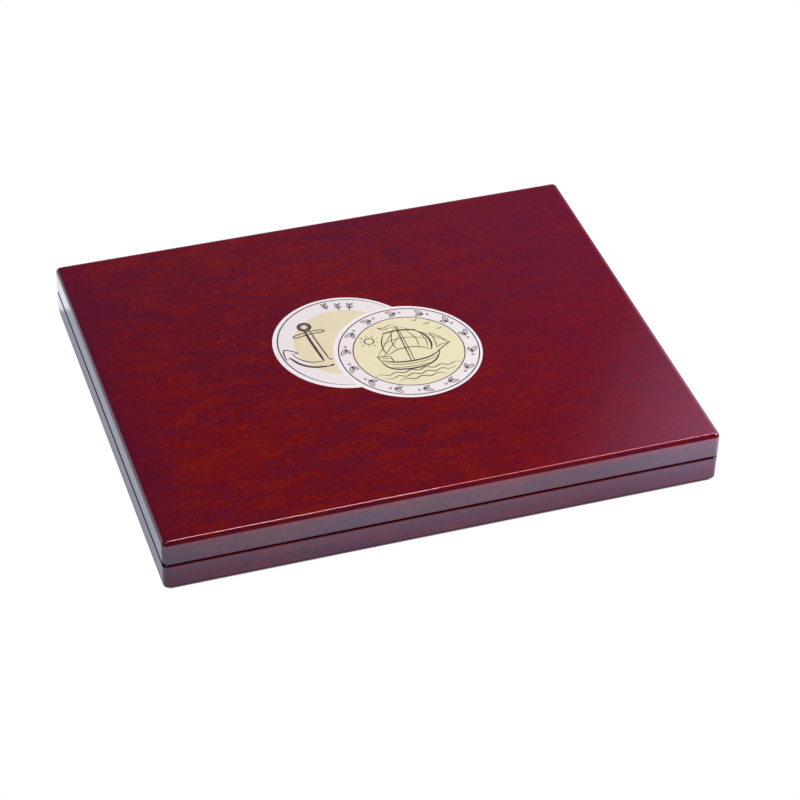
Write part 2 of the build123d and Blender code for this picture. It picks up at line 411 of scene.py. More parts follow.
@dataclass(frozen=True)
class LacqueredVeneer:
    """Mahogany veneer, stained deep red, under polished lacquer."""

    grain: Grain
    dark: Colour = (0.070, 0.0043, 0.0165)
    middle: Colour = (0.112, 0.0042, 0.0065)
    warm: Colour = (0.144, 0.0068, 0.0034)
    fleck: Colour = (0.235, 0.0330, 0.0100)
    dust: Colour = (0.145, 0.0250, 0.0330)
    pore: Colour = (0.036, 0.0026, 0.0070)
    streak: Colour = (0.048, 0.0046, 0.0200)
    plum: Colour = (0.098, 0.0048, 0.0230)
    # colour of the painted shade in the groove between lid and base
    groove_shade_colour: Colour = (0.010, 0.008, 0.012)
    cloud_layer: Layer = Layer(1.5, 44.0, share=0.24)
    figure_layer: Layer = Layer(3.2, 8.0, 3.0, 0.6, 0.3, share=0.36)
    mottle_layer: Layer = Layer(1.4, 2.4, 3.0, 0.65, share=0.46)
    fibre_layer: Layer = Layer(4.0, 0.6, 2.0, 0.6, share=0.40)
    line_layer: Layer = Layer(16.0, 1.15, 2.0, 0.6, share=0.50)
    streak_layer: Layer = Layer(6.0, 3.0, 3.0, 0.55, share=0.52, shows=(0.53, 0.74))
    pore_layer: Layer = Layer(6.0, 0.42, 1.0, share=0.44, shows=(0.58, 0.72))
    fleck_layer: Layer = Layer(1.7, 0.72, 1.0, 0.6, shows=(0.58, 0.70))
    dust_layer: Layer = Layer(1.2, 0.6, 1.0, share=0.50, shows=(0.60, 0.70))
    streaky_figure: Point = (0.66, 0.44)
    flecked_figure: Point = (0.46, 0.62)
    fleck_share: float = 0.12
    fleck_share_gain: float = 0.38
    tone_stops: Triple = (0.36, 0.50, 0.66)
    mean_tone: float = 0.49
    calm_span: Point = (10.0, 120.0)
    calm_tone_loss: float = 0.2
    calm_fleck_loss: float = 0.45
    calm_plum_share: float = 0.36
    # painted shade: darker towards the rear and near the left edge, where less light falls
    painted_rear_shade_span: Point = (-90.0, 110.0)
    painted_rear_shade_depth: float = 0.035
    painted_left_shade_span: Point = (28.0, 1.0)
    painted_left_shade_depth: float = 0.62
    # painted shade in the groove between lid and base at the left and right
    side_face: Point = (-1.7, -1.0)
    groove_shade_span: Point = (1.7, 1.15)
    groove_shade_share: float = 0.92
    slant: float = 3.0
    sway: float = 20.0
    sway_size: float = 36.0
    wood_roughness: float = 0.46
    fibre_roughness: float = 0.14
    relief_depth: float = 0.0020
    ripple_size: float = 3.5
    ripple_depth: float = 0.006
    lacquer_roughness: float = 0.03
    lacquer_ior: float = 1.52
    eased_width: float = 7.0
    eased_depth: float = 0.18

    def material(self) -> bpy.types.Material:
        """Draws the wood from its broad clouds down to its pores, under the lacquer.

        Returns:
            The finished material.
        """
        tree = Tree(f"lacquered_mahogany_grain_{self.grain.value}")
        turn = self.slant if self.grain is Grain.ALONG_WIDTH else 90.0 + self.slant
        spot = tree.place(turn=turn)
        sway = tree.noise(tree.place((0.5, 1.0, 1.0), turn), self.sway_size, 2.0, 0.45)
        drift = tree.node("CombineXYZ", {}, {0: 0.0, 1: (sway - 0.5) * self.sway, 2: 0.0})
        swayed = tree.node("VectorMath", {"operation": "ADD"}, {0: spot, 1: drift})

        def read(layer: Layer) -> Sock:
            """The noise of one layer at the swayed place."""
            drawn_out = tree.times(swayed, (1 / layer.stretch, 1.0, 1.0))
            return tree.noise(drawn_out, layer.size, layer.detail, layer.roughness, layer.bend)

        layers = (self.cloud_layer, self.figure_layer, self.mottle_layer, self.fibre_layer, self.line_layer)
        noises = [read(layer) for layer in layers]
        figure, fibre = noises[1], noises[3]
        grainy: Value = 0.0
        for noise, layer in zip(noises, layers):
            grainy = (noise - 0.5) * layer.share + grainy
        marks = (self.streak_layer, self.pore_layer, self.fleck_layer, self.dust_layer)
        streaks, pores, flecks, dust = (read(layer).rise(*layer.shows) for layer in marks)

        axes = tree.axes(tree.place())
        calm = axes[0].rise(*self.calm_span)
        # painted shade: the tone made darker towards the rear, where less light falls
        rear_painted_shade = axes[1].rise(*self.painted_rear_shade_span) * self.painted_rear_shade_depth
        tone = grainy * (1.0 - calm * self.calm_tone_loss) + self.mean_tone - rear_painted_shade
        stops = list(zip(self.tone_stops, (self.dark, self.middle, self.warm)))
        wood = tree.node("ValToRGB", {"stops": stops}, {0: tone})
        streaks_show = streaks * figure.rise(*self.streaky_figure) * self.streak_layer.share
        fleck_share = self.fleck_share + self.fleck_share_gain * figure.rise(*self.flecked_figure)
        # painted shade of the groove between lid and base; it also takes the lacquer coat off there
        painted_groove_shade = self.painted_groove_shade(axes)
        for share, tint in (
            (streaks_show, self.streak),
            (pores * self.pore_layer.share, self.pore),
            (flecks * fleck_share * (1.0 - calm * self.calm_fleck_loss), self.fleck),
            (dust * self.dust_layer.share, self.dust),
            (calm * self.calm_plum_share, self.plum),
            # painted shade: the wood made darker near the left edge, where less light falls
            (self.painted_left_shade_share(axes) * self.painted_left_shade_depth, self.dark),
            # painted shade: the groove between lid and base made dark at the left and right
            (painted_groove_shade, self.groove_shade_colour),
        ):
            wood = tree.mix(share, wood, tint)

        ripples = tree.noise(spot, self.ripple_size, 1.0)
        ripple = tree.bump(ripples, self.ripple_depth, 1.0, self.eased_edges(tree, axes))
        normal = tree.bump(1.0 - (streaks * 0.4 + pores * 0.6), self.relief_depth, 0.5, ripple)
        lacquer = {
            "Specular IOR Level": 0.0,
            # no lacquer coat where the groove's shade is painted
            "Coat Weight": 1.0 - painted_groove_shade,
            "Coat Roughness": self.lacquer_roughness,
            "Coat IOR": self.lacquer_ior,
        }
        return tree.surface(wood, self.wood_roughness + self.fibre_roughness * fibre, normal, lacquer)

    def painted_left_shade_share(self, axes: Sequence[Sock]) -> Sock:
        """How much painted shade darkens the wood near the left edge, where less light falls, from 0 to 1."""
        return axes[0].past(-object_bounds()[1].x / MM, self.painted_left_shade_span)

    def painted_groove_shade(self, axes: Sequence[Sock]) -> Sock:
        """Painted shade in the groove between lid and base at the left and right, where the lacquer coat is
        also left off.

        Args:
            axes: The place on the piece, axis by axis.

        Returns:
            Its share, from 0 to 1.
        """
        aside = axes[0].math("ABSOLUTE").past(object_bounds()[1].x / MM, self.side_face)
        away = (axes[2] - corners("lid_front_rail")[0].z).math("ABSOLUTE")
        return aside * away.rise(*self.groove_shade_span) * self.groove_shade_share

    def eased_edges(self, tree: Tree, axes: Sequence[Sock]) -> Sock:
        """The normal of faces that roll off a little before they reach the rounded edges.

        Args:
            tree: The material's tree.
            axes: The place on the piece, axis by axis.

        Returns:
            The normal.
        """
        drop: Value = 0.0
        for axis, reach in zip(axes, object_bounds()[1] / MM):
            past = (axis.math("ABSOLUTE") - (reach - self.eased_width)).math("MAXIMUM", 0.0)
            share = past / self.eased_width
            drop = share * share + drop
        return tree.bump(1.0 - drop, self.eased_depth)


@dataclass(frozen=True)
class PrintedEmblem:
    """Glossy print on a thin plate: one flat tone with a fine grain of the ink."""

    name: str
    paper: Colour
    shadow: Colour
    grain: float = 0.22

    def material(self) -> bpy.types.Material:
        """Draws the tone and its grain.

        Returns:
            The finished material.
        """
        tree = Tree(self.name)
        speckle = tree.noise(tree.place(), 0.55, 2.0, 0.7)
        drift = tree.noise(tree.place(), 14.0, 2.0)
        tone = tree.mix(speckle.rise(0.38, 0.64) * self.grain + drift * 0.25, self.paper, self.shadow)
        gloss = {"Specular IOR Level": 0.4}
        return tree.surface(tone, 0.34 + 0.12 * speckle, tree.bump(speckle, 0.004), gloss)


@dataclass(frozen=True)
class PrintingInk:
    """Dense brown-black ink that stands a hair above the print."""

    tone: Colour = (0.011, 0.009, 0.010)
    worn: Colour = (0.040, 0.034, 0.032)

    def material(self) -> bpy.types.Material:
        """Draws the ink with its blots.

        Returns:
            The finished material.
        """
        tree = Tree("line_ink")
        blot = tree.noise(tree.place(), 0.8, 3.0, 0.65)
        tone = tree.mix(blot.rise(0.45, 0.75), self.tone, self.worn)
        return tree.surface(tone, 0.36 + 0.2 * blot, tree.bump(blot, 0.006))


@dataclass(frozen=True)
class Velour:
    """Short-pile velour, brushed one way with marks where it lies over."""

    deep: Colour = (0.0045, 0.0085, 0.040)
    lifted: Colour = (0.016, 0.028, 0.105)

    def material(self) -> bpy.types.Material:
        """Draws the pile, its brushing and its crushed spots.

        Returns:
            The finished material.
        """
        tree = Tree("tray_velour_pile")
        pile = tree.noise(tree.place(), 0.35, 2.0, 0.7)
        nap = tree.noise(tree.place((0.45, 1.0, 1.0), 25.0), 24.0, 3.0, 0.55, 0.8)
        crush = tree.noise(tree.place(), 5.5, 2.0, 0.5)
        share = nap.rise(0.35, 0.68) * 0.55 + (crush - 0.5) * 0.35 + (pile - 0.5) * 0.9 + 0.15
        sheen = {
            "Specular IOR Level": 0.15,
            "Sheen Weight": 0.55,
            "Sheen Roughness": 0.42,
            "Sheen Tint": (0.30, 0.42, 0.95, 1.0),
        }
        normal = tree.bump(pile, 0.10, 0.7, tree.bump(crush, 0.12))
        return tree.surface(tree.mix(share, self.deep, self.lifted), 0.86 + 0.1 * pile, normal, sheen)


@dataclass(frozen=True)
class Satin:
    """Ivory lining satin with its fine rib and soft puckers."""

    light: Colour = (0.80, 0.755, 0.655)
    shade: Colour = (0.63, 0.575, 0.475)

    def material(self) -> bpy.types.Material:
        """Draws the rib, the slubs and a soft change of tone.

        Returns:
            The finished material.
        """
        tree = Tree("lining_satin_weave")
        ribs = tree.noise(tree.place((0.05, 1.0, 1.0)), 0.28, 1.0)
        slub = tree.noise(tree.place((0.03, 1.0, 1.0)), 1.1, 2.0, 0.6)
        soft = tree.noise(tree.place(), 60.0, 2.0)
        share = soft * 0.45 + (slub - 0.5) * 0.8 + (ribs - 0.5) * 0.5
        normal = tree.bump(ribs, 0.02, 0.8, tree.bump(slub, 0.03))
        sheen = {"Specular IOR Level": 0.55, "Sheen Weight": 0.25, "Sheen Roughness": 0.3}
        return tree.surface(tree.mix(share, self.light, self.shade), 0.30 + 0.2 * slub, normal, sheen)


@dataclass(frozen=True)
class PolishedBrass:
    """Drawn brass, polished, with fine brush lines and patches of darker tarnish."""

    bright: Colour = (0.87, 0.62, 0.25)
    tarnished: Colour = (0.48, 0.29, 0.11)

    def material(self) -> bpy.types.Material:
        """Draws the brush lines and the tarnish.

        Returns:
            The finished material.
        """
        tree = Tree("hinge_brass_polished")
        lines = tree.noise(tree.place((0.06, 1.0, 1.0)), 0.12, 2.0, 0.6)
        cloud = tree.noise(tree.place(), 3.2, 3.0, 0.6)
        spots = tree.noise(tree.place(), 0.7, 2.0, 0.5).rise(0.60, 0.74)
        tone = tree.mix(cloud.rise(0.45, 0.75) * 0.45 + spots * 0.35, self.bright, self.tarnished)
        roughness = 0.18 + 0.14 * cloud + 0.10 * lines
        return tree.surface(tone, roughness, tree.bump(lines, 0.004, 0.7), {"Metallic": 1.0})


@dataclass(frozen=True)
class NickelPlate:
    """Bright nickel plating, lightly scuffed by closing the lid."""

    bright: Colour = (0.70, 0.69, 0.67)
    dull: Colour = (0.42, 0.41, 0.40)

    def material(self) -> bpy.types.Material:
        """Draws the scuffs and a faint cloud.

        Returns:
            The finished material.
        """
        tree = Tree("magnet_nickel_plate")
        scuff = tree.noise(tree.place((0.12, 1.0, 1.0), 35.0), 0.25, 3.0, 0.65)
        cloud = tree.noise(tree.place(), 1.8, 2.0)
        tone = tree.mix(scuff.rise(0.5, 0.8) * 0.6 + cloud * 0.2, self.bright, self.dull)
        roughness = 0.14 + 0.22 * scuff.rise(0.45, 0.8)
        return tree.surface(tone, roughness, tree.bump(scuff, 0.003, 0.6), {"Metallic": 1.0})


@dataclass(frozen=True)
class Fibreboard:
    """Bare medium-density fibreboard: brown felted fibres and specks."""

    pale: Colour = (0.36, 0.235, 0.135)
    brown: Colour = (0.20, 0.115, 0.060)

    def material(self) -> bpy.types.Material:
        """Draws the fibres, the specks and a slow drift of tone.

        Returns:
            The finished material.
        """
        tree = Tree("floor_fibreboard_bare")
        fibres = tree.noise(tree.place((0.35, 1.0, 1.0), 20.0), 0.6, 3.0, 0.7, 1.2)
        specks = tree.noise(tree.place(), 0.8, 2.0).rise(0.62, 0.72)
        drift = tree.noise(tree.place(), 22.0, 2.0)
        tone = tree.mix((fibres - 0.5) * 1.3 + drift * 0.5 + specks * 0.5, self.pale, self.brown)
        dull = {"Specular IOR Level": 0.2}
        return tree.surface(tone, 0.82 + 0.1 * fibres, tree.bump(fibres, 0.06, 0.7), dull)


@dataclass(frozen=True)
class PressedFelt:
    """Black pressed felt: matted fibres, a few grey ones, pilling."""

    black: Colour = (0.020, 0.020, 0.022)
    grey: Colour = (0.080, 0.080, 0.086)

    def material(self) -> bpy.types.Material:
        """Draws the mat, its loose strands and its pills.

        Returns:
            The finished material.
        """
        tree = Tree("underside_felt_pressed")
        mat = tree.noise(tree.place(), 1.1, 3.0, 0.75, 1.5)
        strands = tree.noise(tree.place((0.2, 1.0, 1.0), 50.0), 0.8, 2.0, 0.6, 2.0).rise(0.6, 0.75)
        pills = tree.noise(tree.place(), 2.4, 1.0).rise(0.62, 0.75)
        tone = tree.mix(mat.rise(0.35, 0.7) * 0.4 + strands * 0.6 + pills * 0.2, self.black, self.grey)
        normal = tree.bump(mat, 0.06, 0.8, tree.bump(pills, 0.15))
        sheen = {"Specular IOR Level": 0.15, "Sheen Weight": 0.06, "Sheen Roughness": 0.5}
        return tree.surface(tone, 0.92 + 0.06 * mat, normal, sheen)


@dataclass(frozen=True)
class GreyCard:
    """Grey-white backing card with recycled flecks."""

    pale: Colour = (0.52, 0.49, 0.43)
    fleck: Colour = (0.30, 0.27, 0.23)

    def material(self) -> bpy.types.Material:
        """Draws the flecks.

        Returns:
            The finished material.
        """
        tree = Tree("lining_card_flecked")
        flecks = tree.noise(tree.place((0.5, 1.0, 1.0), 40.0), 0.7, 3.0, 0.7)
        tone = tree.mix(flecks.rise(0.5, 0.75), self.pale, self.fleck)
        return tree.surface(tone, 0.8 + 0.1 * flecks, tree.bump(tree.noise(tree.place(), 0.4, 2.0), 0.02))


# --- Workpieces ---


class Blank:
    """A workpiece in millimetres, shaped by one mesh operator after another."""

    def __init__(self) -> None:
        """Starts with nothing."""
        self.bm = bmesh.new()

    @classmethod
    def box(cls, low: Sequence[float], high: Sequence[float]) -> "Blank":
        """A rectangular block.

        Args:
            low: Its lowest corner.
            high: Its highest corner.

        Returns:
            The block.
        """
        blank = cls()
        bmesh.ops.create_cube(blank.bm, size=1.0)
        first, last = Vector(low), Vector(high)
        blank.stretch(last - first)
        blank.shift((first + last) / 2)
        return blank

    @classmethod
    def disc(
        cls, radius: float, low: float, high: float, centre: Point = (0.0, 0.0), segments: int = 64
    ) -> "Blank":
        """An upright cylinder.

        Args:
            radius: Its radius.
            low: The height of its foot.
            high: The height of its top.
            centre: Where its axis stands.
            segments: How many sides it has.

        Returns:
            The cylinder.
        """
        blank = cls()
        blank.add_disc(radius, low, high, centre, segments)
        return blank

    def add_disc(self, radius: float, low: float, high: float, centre: Point, segments: int) -> None:
        """Adds an upright cylinder.

        Args:
            radius: Its radius.
            low: The height of its foot.
            high: The height of its top.
            centre: Where its axis stands.
            segments: How many sides it has.
        """
        made = bmesh.ops.create_cone(
            self.bm,
            cap_ends=True,
            segments=segments,
            radius1=radius,
            radius2=radius,
            depth=high - low,
        )["verts"]
        self.shift((*centre, (low + high) / 2), made)

    def shift(self, way: Sequence[float], verts: Sequence[Vert] | None = None) -> None:
        """Moves some vertices, or else the whole workpiece."""
        bmesh.ops.translate(self.bm, vec=way, verts=self.bm.verts[:] if verts is None else verts)

    def stretch(self, factors: Sequence[float], verts: Sequence[Vert] | None = None) -> None:
        """Scales some vertices about the origin, or else the whole workpiece."""
        bmesh.ops.scale(self.bm, vec=factors, verts=self.bm.verts[:] if verts is None else verts)

    def edges(self, test: Callable[[Edge], bool]) -> list[Edge]:
        """The edges that pass a test."""
        return [edge for edge in self.bm.edges if test(edge)]

    def edges_at(self, axis: int, value: float) -> list[Edge]:
        """The edges that lie in one plane across an axis."""
        return self.edges(lambda edge: all(abs(v.co[axis] - value) < NEAR for v in edge.verts))

    def uprights(self) -> list[Edge]:
        """The edges that aren't level."""
        return self.edges(lambda edge: abs(edge.verts[0].co.z - edge.verts[1].co.z) > NEAR)

    def open_rim(self) -> list[Edge]:
        """The edges that have a face on one side only."""
        return self.edges(lambda edge: edge.is_boundary)

    def extrude_rim(self) -> list[Vert]:
        """Extrudes the open rim in place and hands its new vertices back."""
        made = bmesh.ops.extrude_edge_only(self.bm, edges=self.open_rim())["geom"]
        return [part for part in made if isinstance(part, Vert)]

    def face_outwards(self) -> None:
        """Turns all faces of a closed shape outwards."""
        bmesh.ops.recalc_face_normals(self.bm, faces=self.bm.faces[:])

    def close(self) -> None:
        """Fills the open rim and turns all faces outwards."""
        bmesh.ops.edgeloop_fill(self.bm, edges=self.open_rim())
        self.face_outwards()

    def round_off(self, edges: Iterable[Edge], width: float, segments: int) -> None:
        """Bevels or rounds edges.

        Args:
            edges: The edges.
            width: How far the bevel reaches from each.
            segments: 1 for a flat bevel, more for a round.
        """
        bmesh.ops.bevel(
            self.bm,
            geom=list(edges),
            offset=width,
            offset_type="OFFSET",
            affect="EDGES",
            segments=segments,
            profile=0.5,
            material=-1,
            clamp_overlap=True,
        )

    def slice_off(self, point: Sequence[float], outward: Sequence[float]) -> None:
        """Saws off what lies beyond a plane and closes the cut.

        Args:
            point: A point of the plane.
            outward: Its normal, towards what is lost.
        """
        bmesh.ops.bisect_plane(
            self.bm,
            geom=[*self.bm.verts, *self.bm.edges, *self.bm.faces],
            dist=NEAR / 100,
            plane_co=point,
            plane_no=outward,
            clear_outer=True,
        )
        self.close()

    def take(self, mesh: bpy.types.Mesh) -> None:
        """Starts again from a mesh.

        Args:
            mesh: The mesh, which is used up.
        """
        self.bm.clear()
        self.bm.from_mesh(mesh)
        bpy.data.meshes.remove(mesh)

    def carve(self, *cutters: "Blank") -> "Blank":
        """Takes other shapes out of this one.

        Args:
            cutters: The shapes to take out; they are used up.

        Returns:
            This workpiece.
        """
        scratch = [self.as_object("scratch"), *(cutter.as_object("cutter") for cutter in cutters)]
        for cutter in scratch[1:]:
            cut = scratch[0].modifiers.new("cut", "BOOLEAN")
            cut.operation, cut.solver, cut.object = "DIFFERENCE", "EXACT", cutter
        self.take(final_mesh(scratch[0]))
        for thing in scratch:
            mesh = thing.data
            bpy.data.objects.remove(thing)
            bpy.data.meshes.remove(mesh)
        return self

    def as_object(self, name: str) -> bpy.types.Object:
        """Makes an object of the scene from this workpiece, as large as it is.

        Args:
            name: The object's name.

        Returns:
            The object, with an empty material slot for each index in use.
        """
        mesh = bpy.data.meshes.new(name)
        self.bm.to_mesh(mesh)
        for _ in range(1 + max((face.material_index for face in self.bm.faces), default=0)):
            mesh.materials.append(None)
        return in_scene(bpy.data.objects.new(name, mesh))

    def finished(self, name: str) -> bpy.types.Object:
        """Turns the workpiece into a finished object in metres, with smooth rounds and flat faces.

        Args:
            name: The object's name.

        Returns:
            The object, with no modifiers left on it.
        """
        bmesh.ops.remove_doubles(self.bm, verts=self.bm.verts[:], dist=NEAR / 5)
        self.stretch((MM, MM, MM))
        for face in self.bm.faces:
            face.smooth = True
        thing = self.as_object(name)
        thing.data.set_sharp_from_angle(angle=SHARP_ANGLE)
        weighted = thing.modifiers.new("even_shading", "WEIGHTED_NORMAL")
        weighted.keep_sharp, weighted.weight = True, EVEN_SHADING
        return settled(thing)


def final_mesh(thing: bpy.types.Object) -> bpy.types.Mesh:
    """A new mesh of an object as its modifiers leave it."""
    graph = bpy.context.evaluated_depsgraph_get()
    return bpy.data.meshes.new_from_object(thing.evaluated_get(graph), depsgraph=graph)


def settled(thing: bpy.types.Object) -> bpy.types.Object:
    """Applies an object's modifiers.

    Args:
        thing: The object.

    Returns:
        The same object with its final mesh.
    """
    old, mesh = thing.data, final_mesh(thing)
    mesh.name = thing.name
    thing.modifiers.clear()
    thing.data = mesh
    bpy.data.meshes.remove(old)
    return thing


def dress(
    thing: bpy.types.Object,
    body: str,
    finishes: Sequence[bpy.types.Material],
    nodes: Sequence[str] = (),
) -> bpy.types.Object:
    """Gives a finished object its materials and its body, and hides the solids it stands for.

    Args:
        thing: The object.
        body: The body it moves with.
        finishes: Its materials, in the order of its faces' indices.
        nodes: The solids it stands for.

    Returns:
        The object.
    """
    faces = thing.data.polygons
    kept = [face.material_index for face in faces]
    thing.data.materials.clear()
    for finish in finishes:
        thing.data.materials.append(finish)
    faces.foreach_set("material_index", kept)
    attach(thing, body)
    if nodes:
        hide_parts(*nodes)
    LOG.info("%s: %d faces on %s", thing.name, len(thing.data.polygons), body)
    return thing


def repaint(node: str, finish: bpy.types.Material) -> None:
    """Gives a solid of the frame a better material in each of its slots.

    Args:
        node: The solid's name.
        finish: The material.
    """
    for slot in frame["nodes"][node].material_slots:
        slot.material = finish
    LOG.info("%s: keeps its shape, new finish %s", node, finish.name)


# --- Wooden shells ---


class Side(Enum):
    """One side of the case, with its outward direction in plan."""

    FRONT = (0, -1)
    RIGHT = (1, 0)
    REAR = (0, 1)
    LEFT = (-1, 0)

    @property
    def runs_along_width(self) -> bool:
        """Whether a rail on this side lies along X."""
        return self.value[0] == 0


@dataclass(frozen=True)
class Rim:
    """The rim of the lid or the base: its height, and 1 where it faces up or -1 where it faces down."""

    height: float
    up: int

    def span(self, *depths: float) -> list[float]:
        """Depths below the rim's face as heights, the lowest first."""
        return sorted(self.height - self.up * depth for depth in depths)


@dataclass
class Hardware:
    """Places and sizes of what is let into the rims."""

    pair_spacing: float = 190.0
    hinge_length: float = 28.0
    barrel_radius: float = 1.6
    leaf_thickness: float = 0.9
    mortise_play: float = 0.2
    magnet_thickness: float = 2.0
    magnet_play: float = 0.05
    magnet_sink: float = 0.1
    magnet_round: float = 0.25
    round_segments: int = 3
    segments: int = 48

    def __post_init__(self) -> None:
        """Reads the places off the solids and the hinge line of the frame."""
        axis = Vector(frame["joints"][0]["pos_m"]) / MM
        self.axis_y, self.axis_z = axis.y, axis.z
        rail_low, rail_high = corners("base_rear_rail")
        self.inner_wall = rail_low.y
        self.rim_gap = corners("lid_rear_rail")[0].z - rail_high.z
        low, high = corners("base_magnets")
        self.magnet_radius = (high.y - low.y) / 2
        self.middles = (-self.pair_spacing / 2, self.pair_spacing / 2)
        self.magnet_places = [(x, (low.y + high.y) / 2) for x in self.middles]

    def cuts(self, side: Side, rim: Rim) -> list[Blank]:
        """What a rail gives way to.

        Args:
            side: The side that the rail lies on.
            rim: Its rim.

        Returns:
            The cutting shapes; none at the left and right.
        """
        if side is Side.FRONT:
            ends = rim.span(self.magnet_thickness + self.magnet_sink, -1.0)
            radius = self.magnet_radius + self.magnet_play
            return [Blank.disc(radius, *ends, place, self.segments) for place in self.magnet_places]
        return self.mortises(rim.up) if side is Side.REAR else []

    def mortises(self, up: int) -> list[Blank]:
        """The seats for two hinge leaves and their knuckles.

        Args:
            up: 1 where the rim faces up, -1 where it faces down.

        Returns:
            The cutting shapes.
        """
        cuts = []
        half = self.hinge_length / 2 + self.mortise_play
        face = Rim(self.axis_z - up * self.rim_gap / 2, up)
        low, high = face.span(self.leaf_thickness, -1.0)
        for middle in self.middles:
            near, far = middle - half, middle + half
            seat = Blank.box((near, self.inner_wall - 1.0, low), (far, self.axis_y, high))
            groove = Blank.disc(self.barrel_radius + self.mortise_play, -half, half, segments=self.segments)
            level = Matrix.Rotation(math.pi / 2, 3, "Y")
            bmesh.ops.rotate(groove.bm, matrix=level, verts=groove.bm.verts[:])
            groove.shift((middle, self.axis_y, self.axis_z))
            cuts += [seat, groove]
        return cuts

    def magnets(self, body: str, rim: Rim, finish: bpy.types.Material) -> None:
        """Makes the two magnets of one rim, sunk just below it, their edges rounded.

        Args:
            body: The body they ride on.
            rim: The rim.
            finish: Their plating.
        """
        ends = rim.span(self.magnet_sink, self.magnet_sink + self.magnet_thickness)
        blank = Blank()
        for place in self.magnet_places:
            blank.add_disc(self.magnet_radius, *ends, place, self.segments)
        sharp = [edge for end in ends for edge in blank.edges_at(2, end)]
        blank.round_off(sharp, self.magnet_round, self.round_segments)
        pair = blank.finished(f"{body}_magnet_pair")
        dress(pair, body, (finish,), (f"{body}_magnets",))


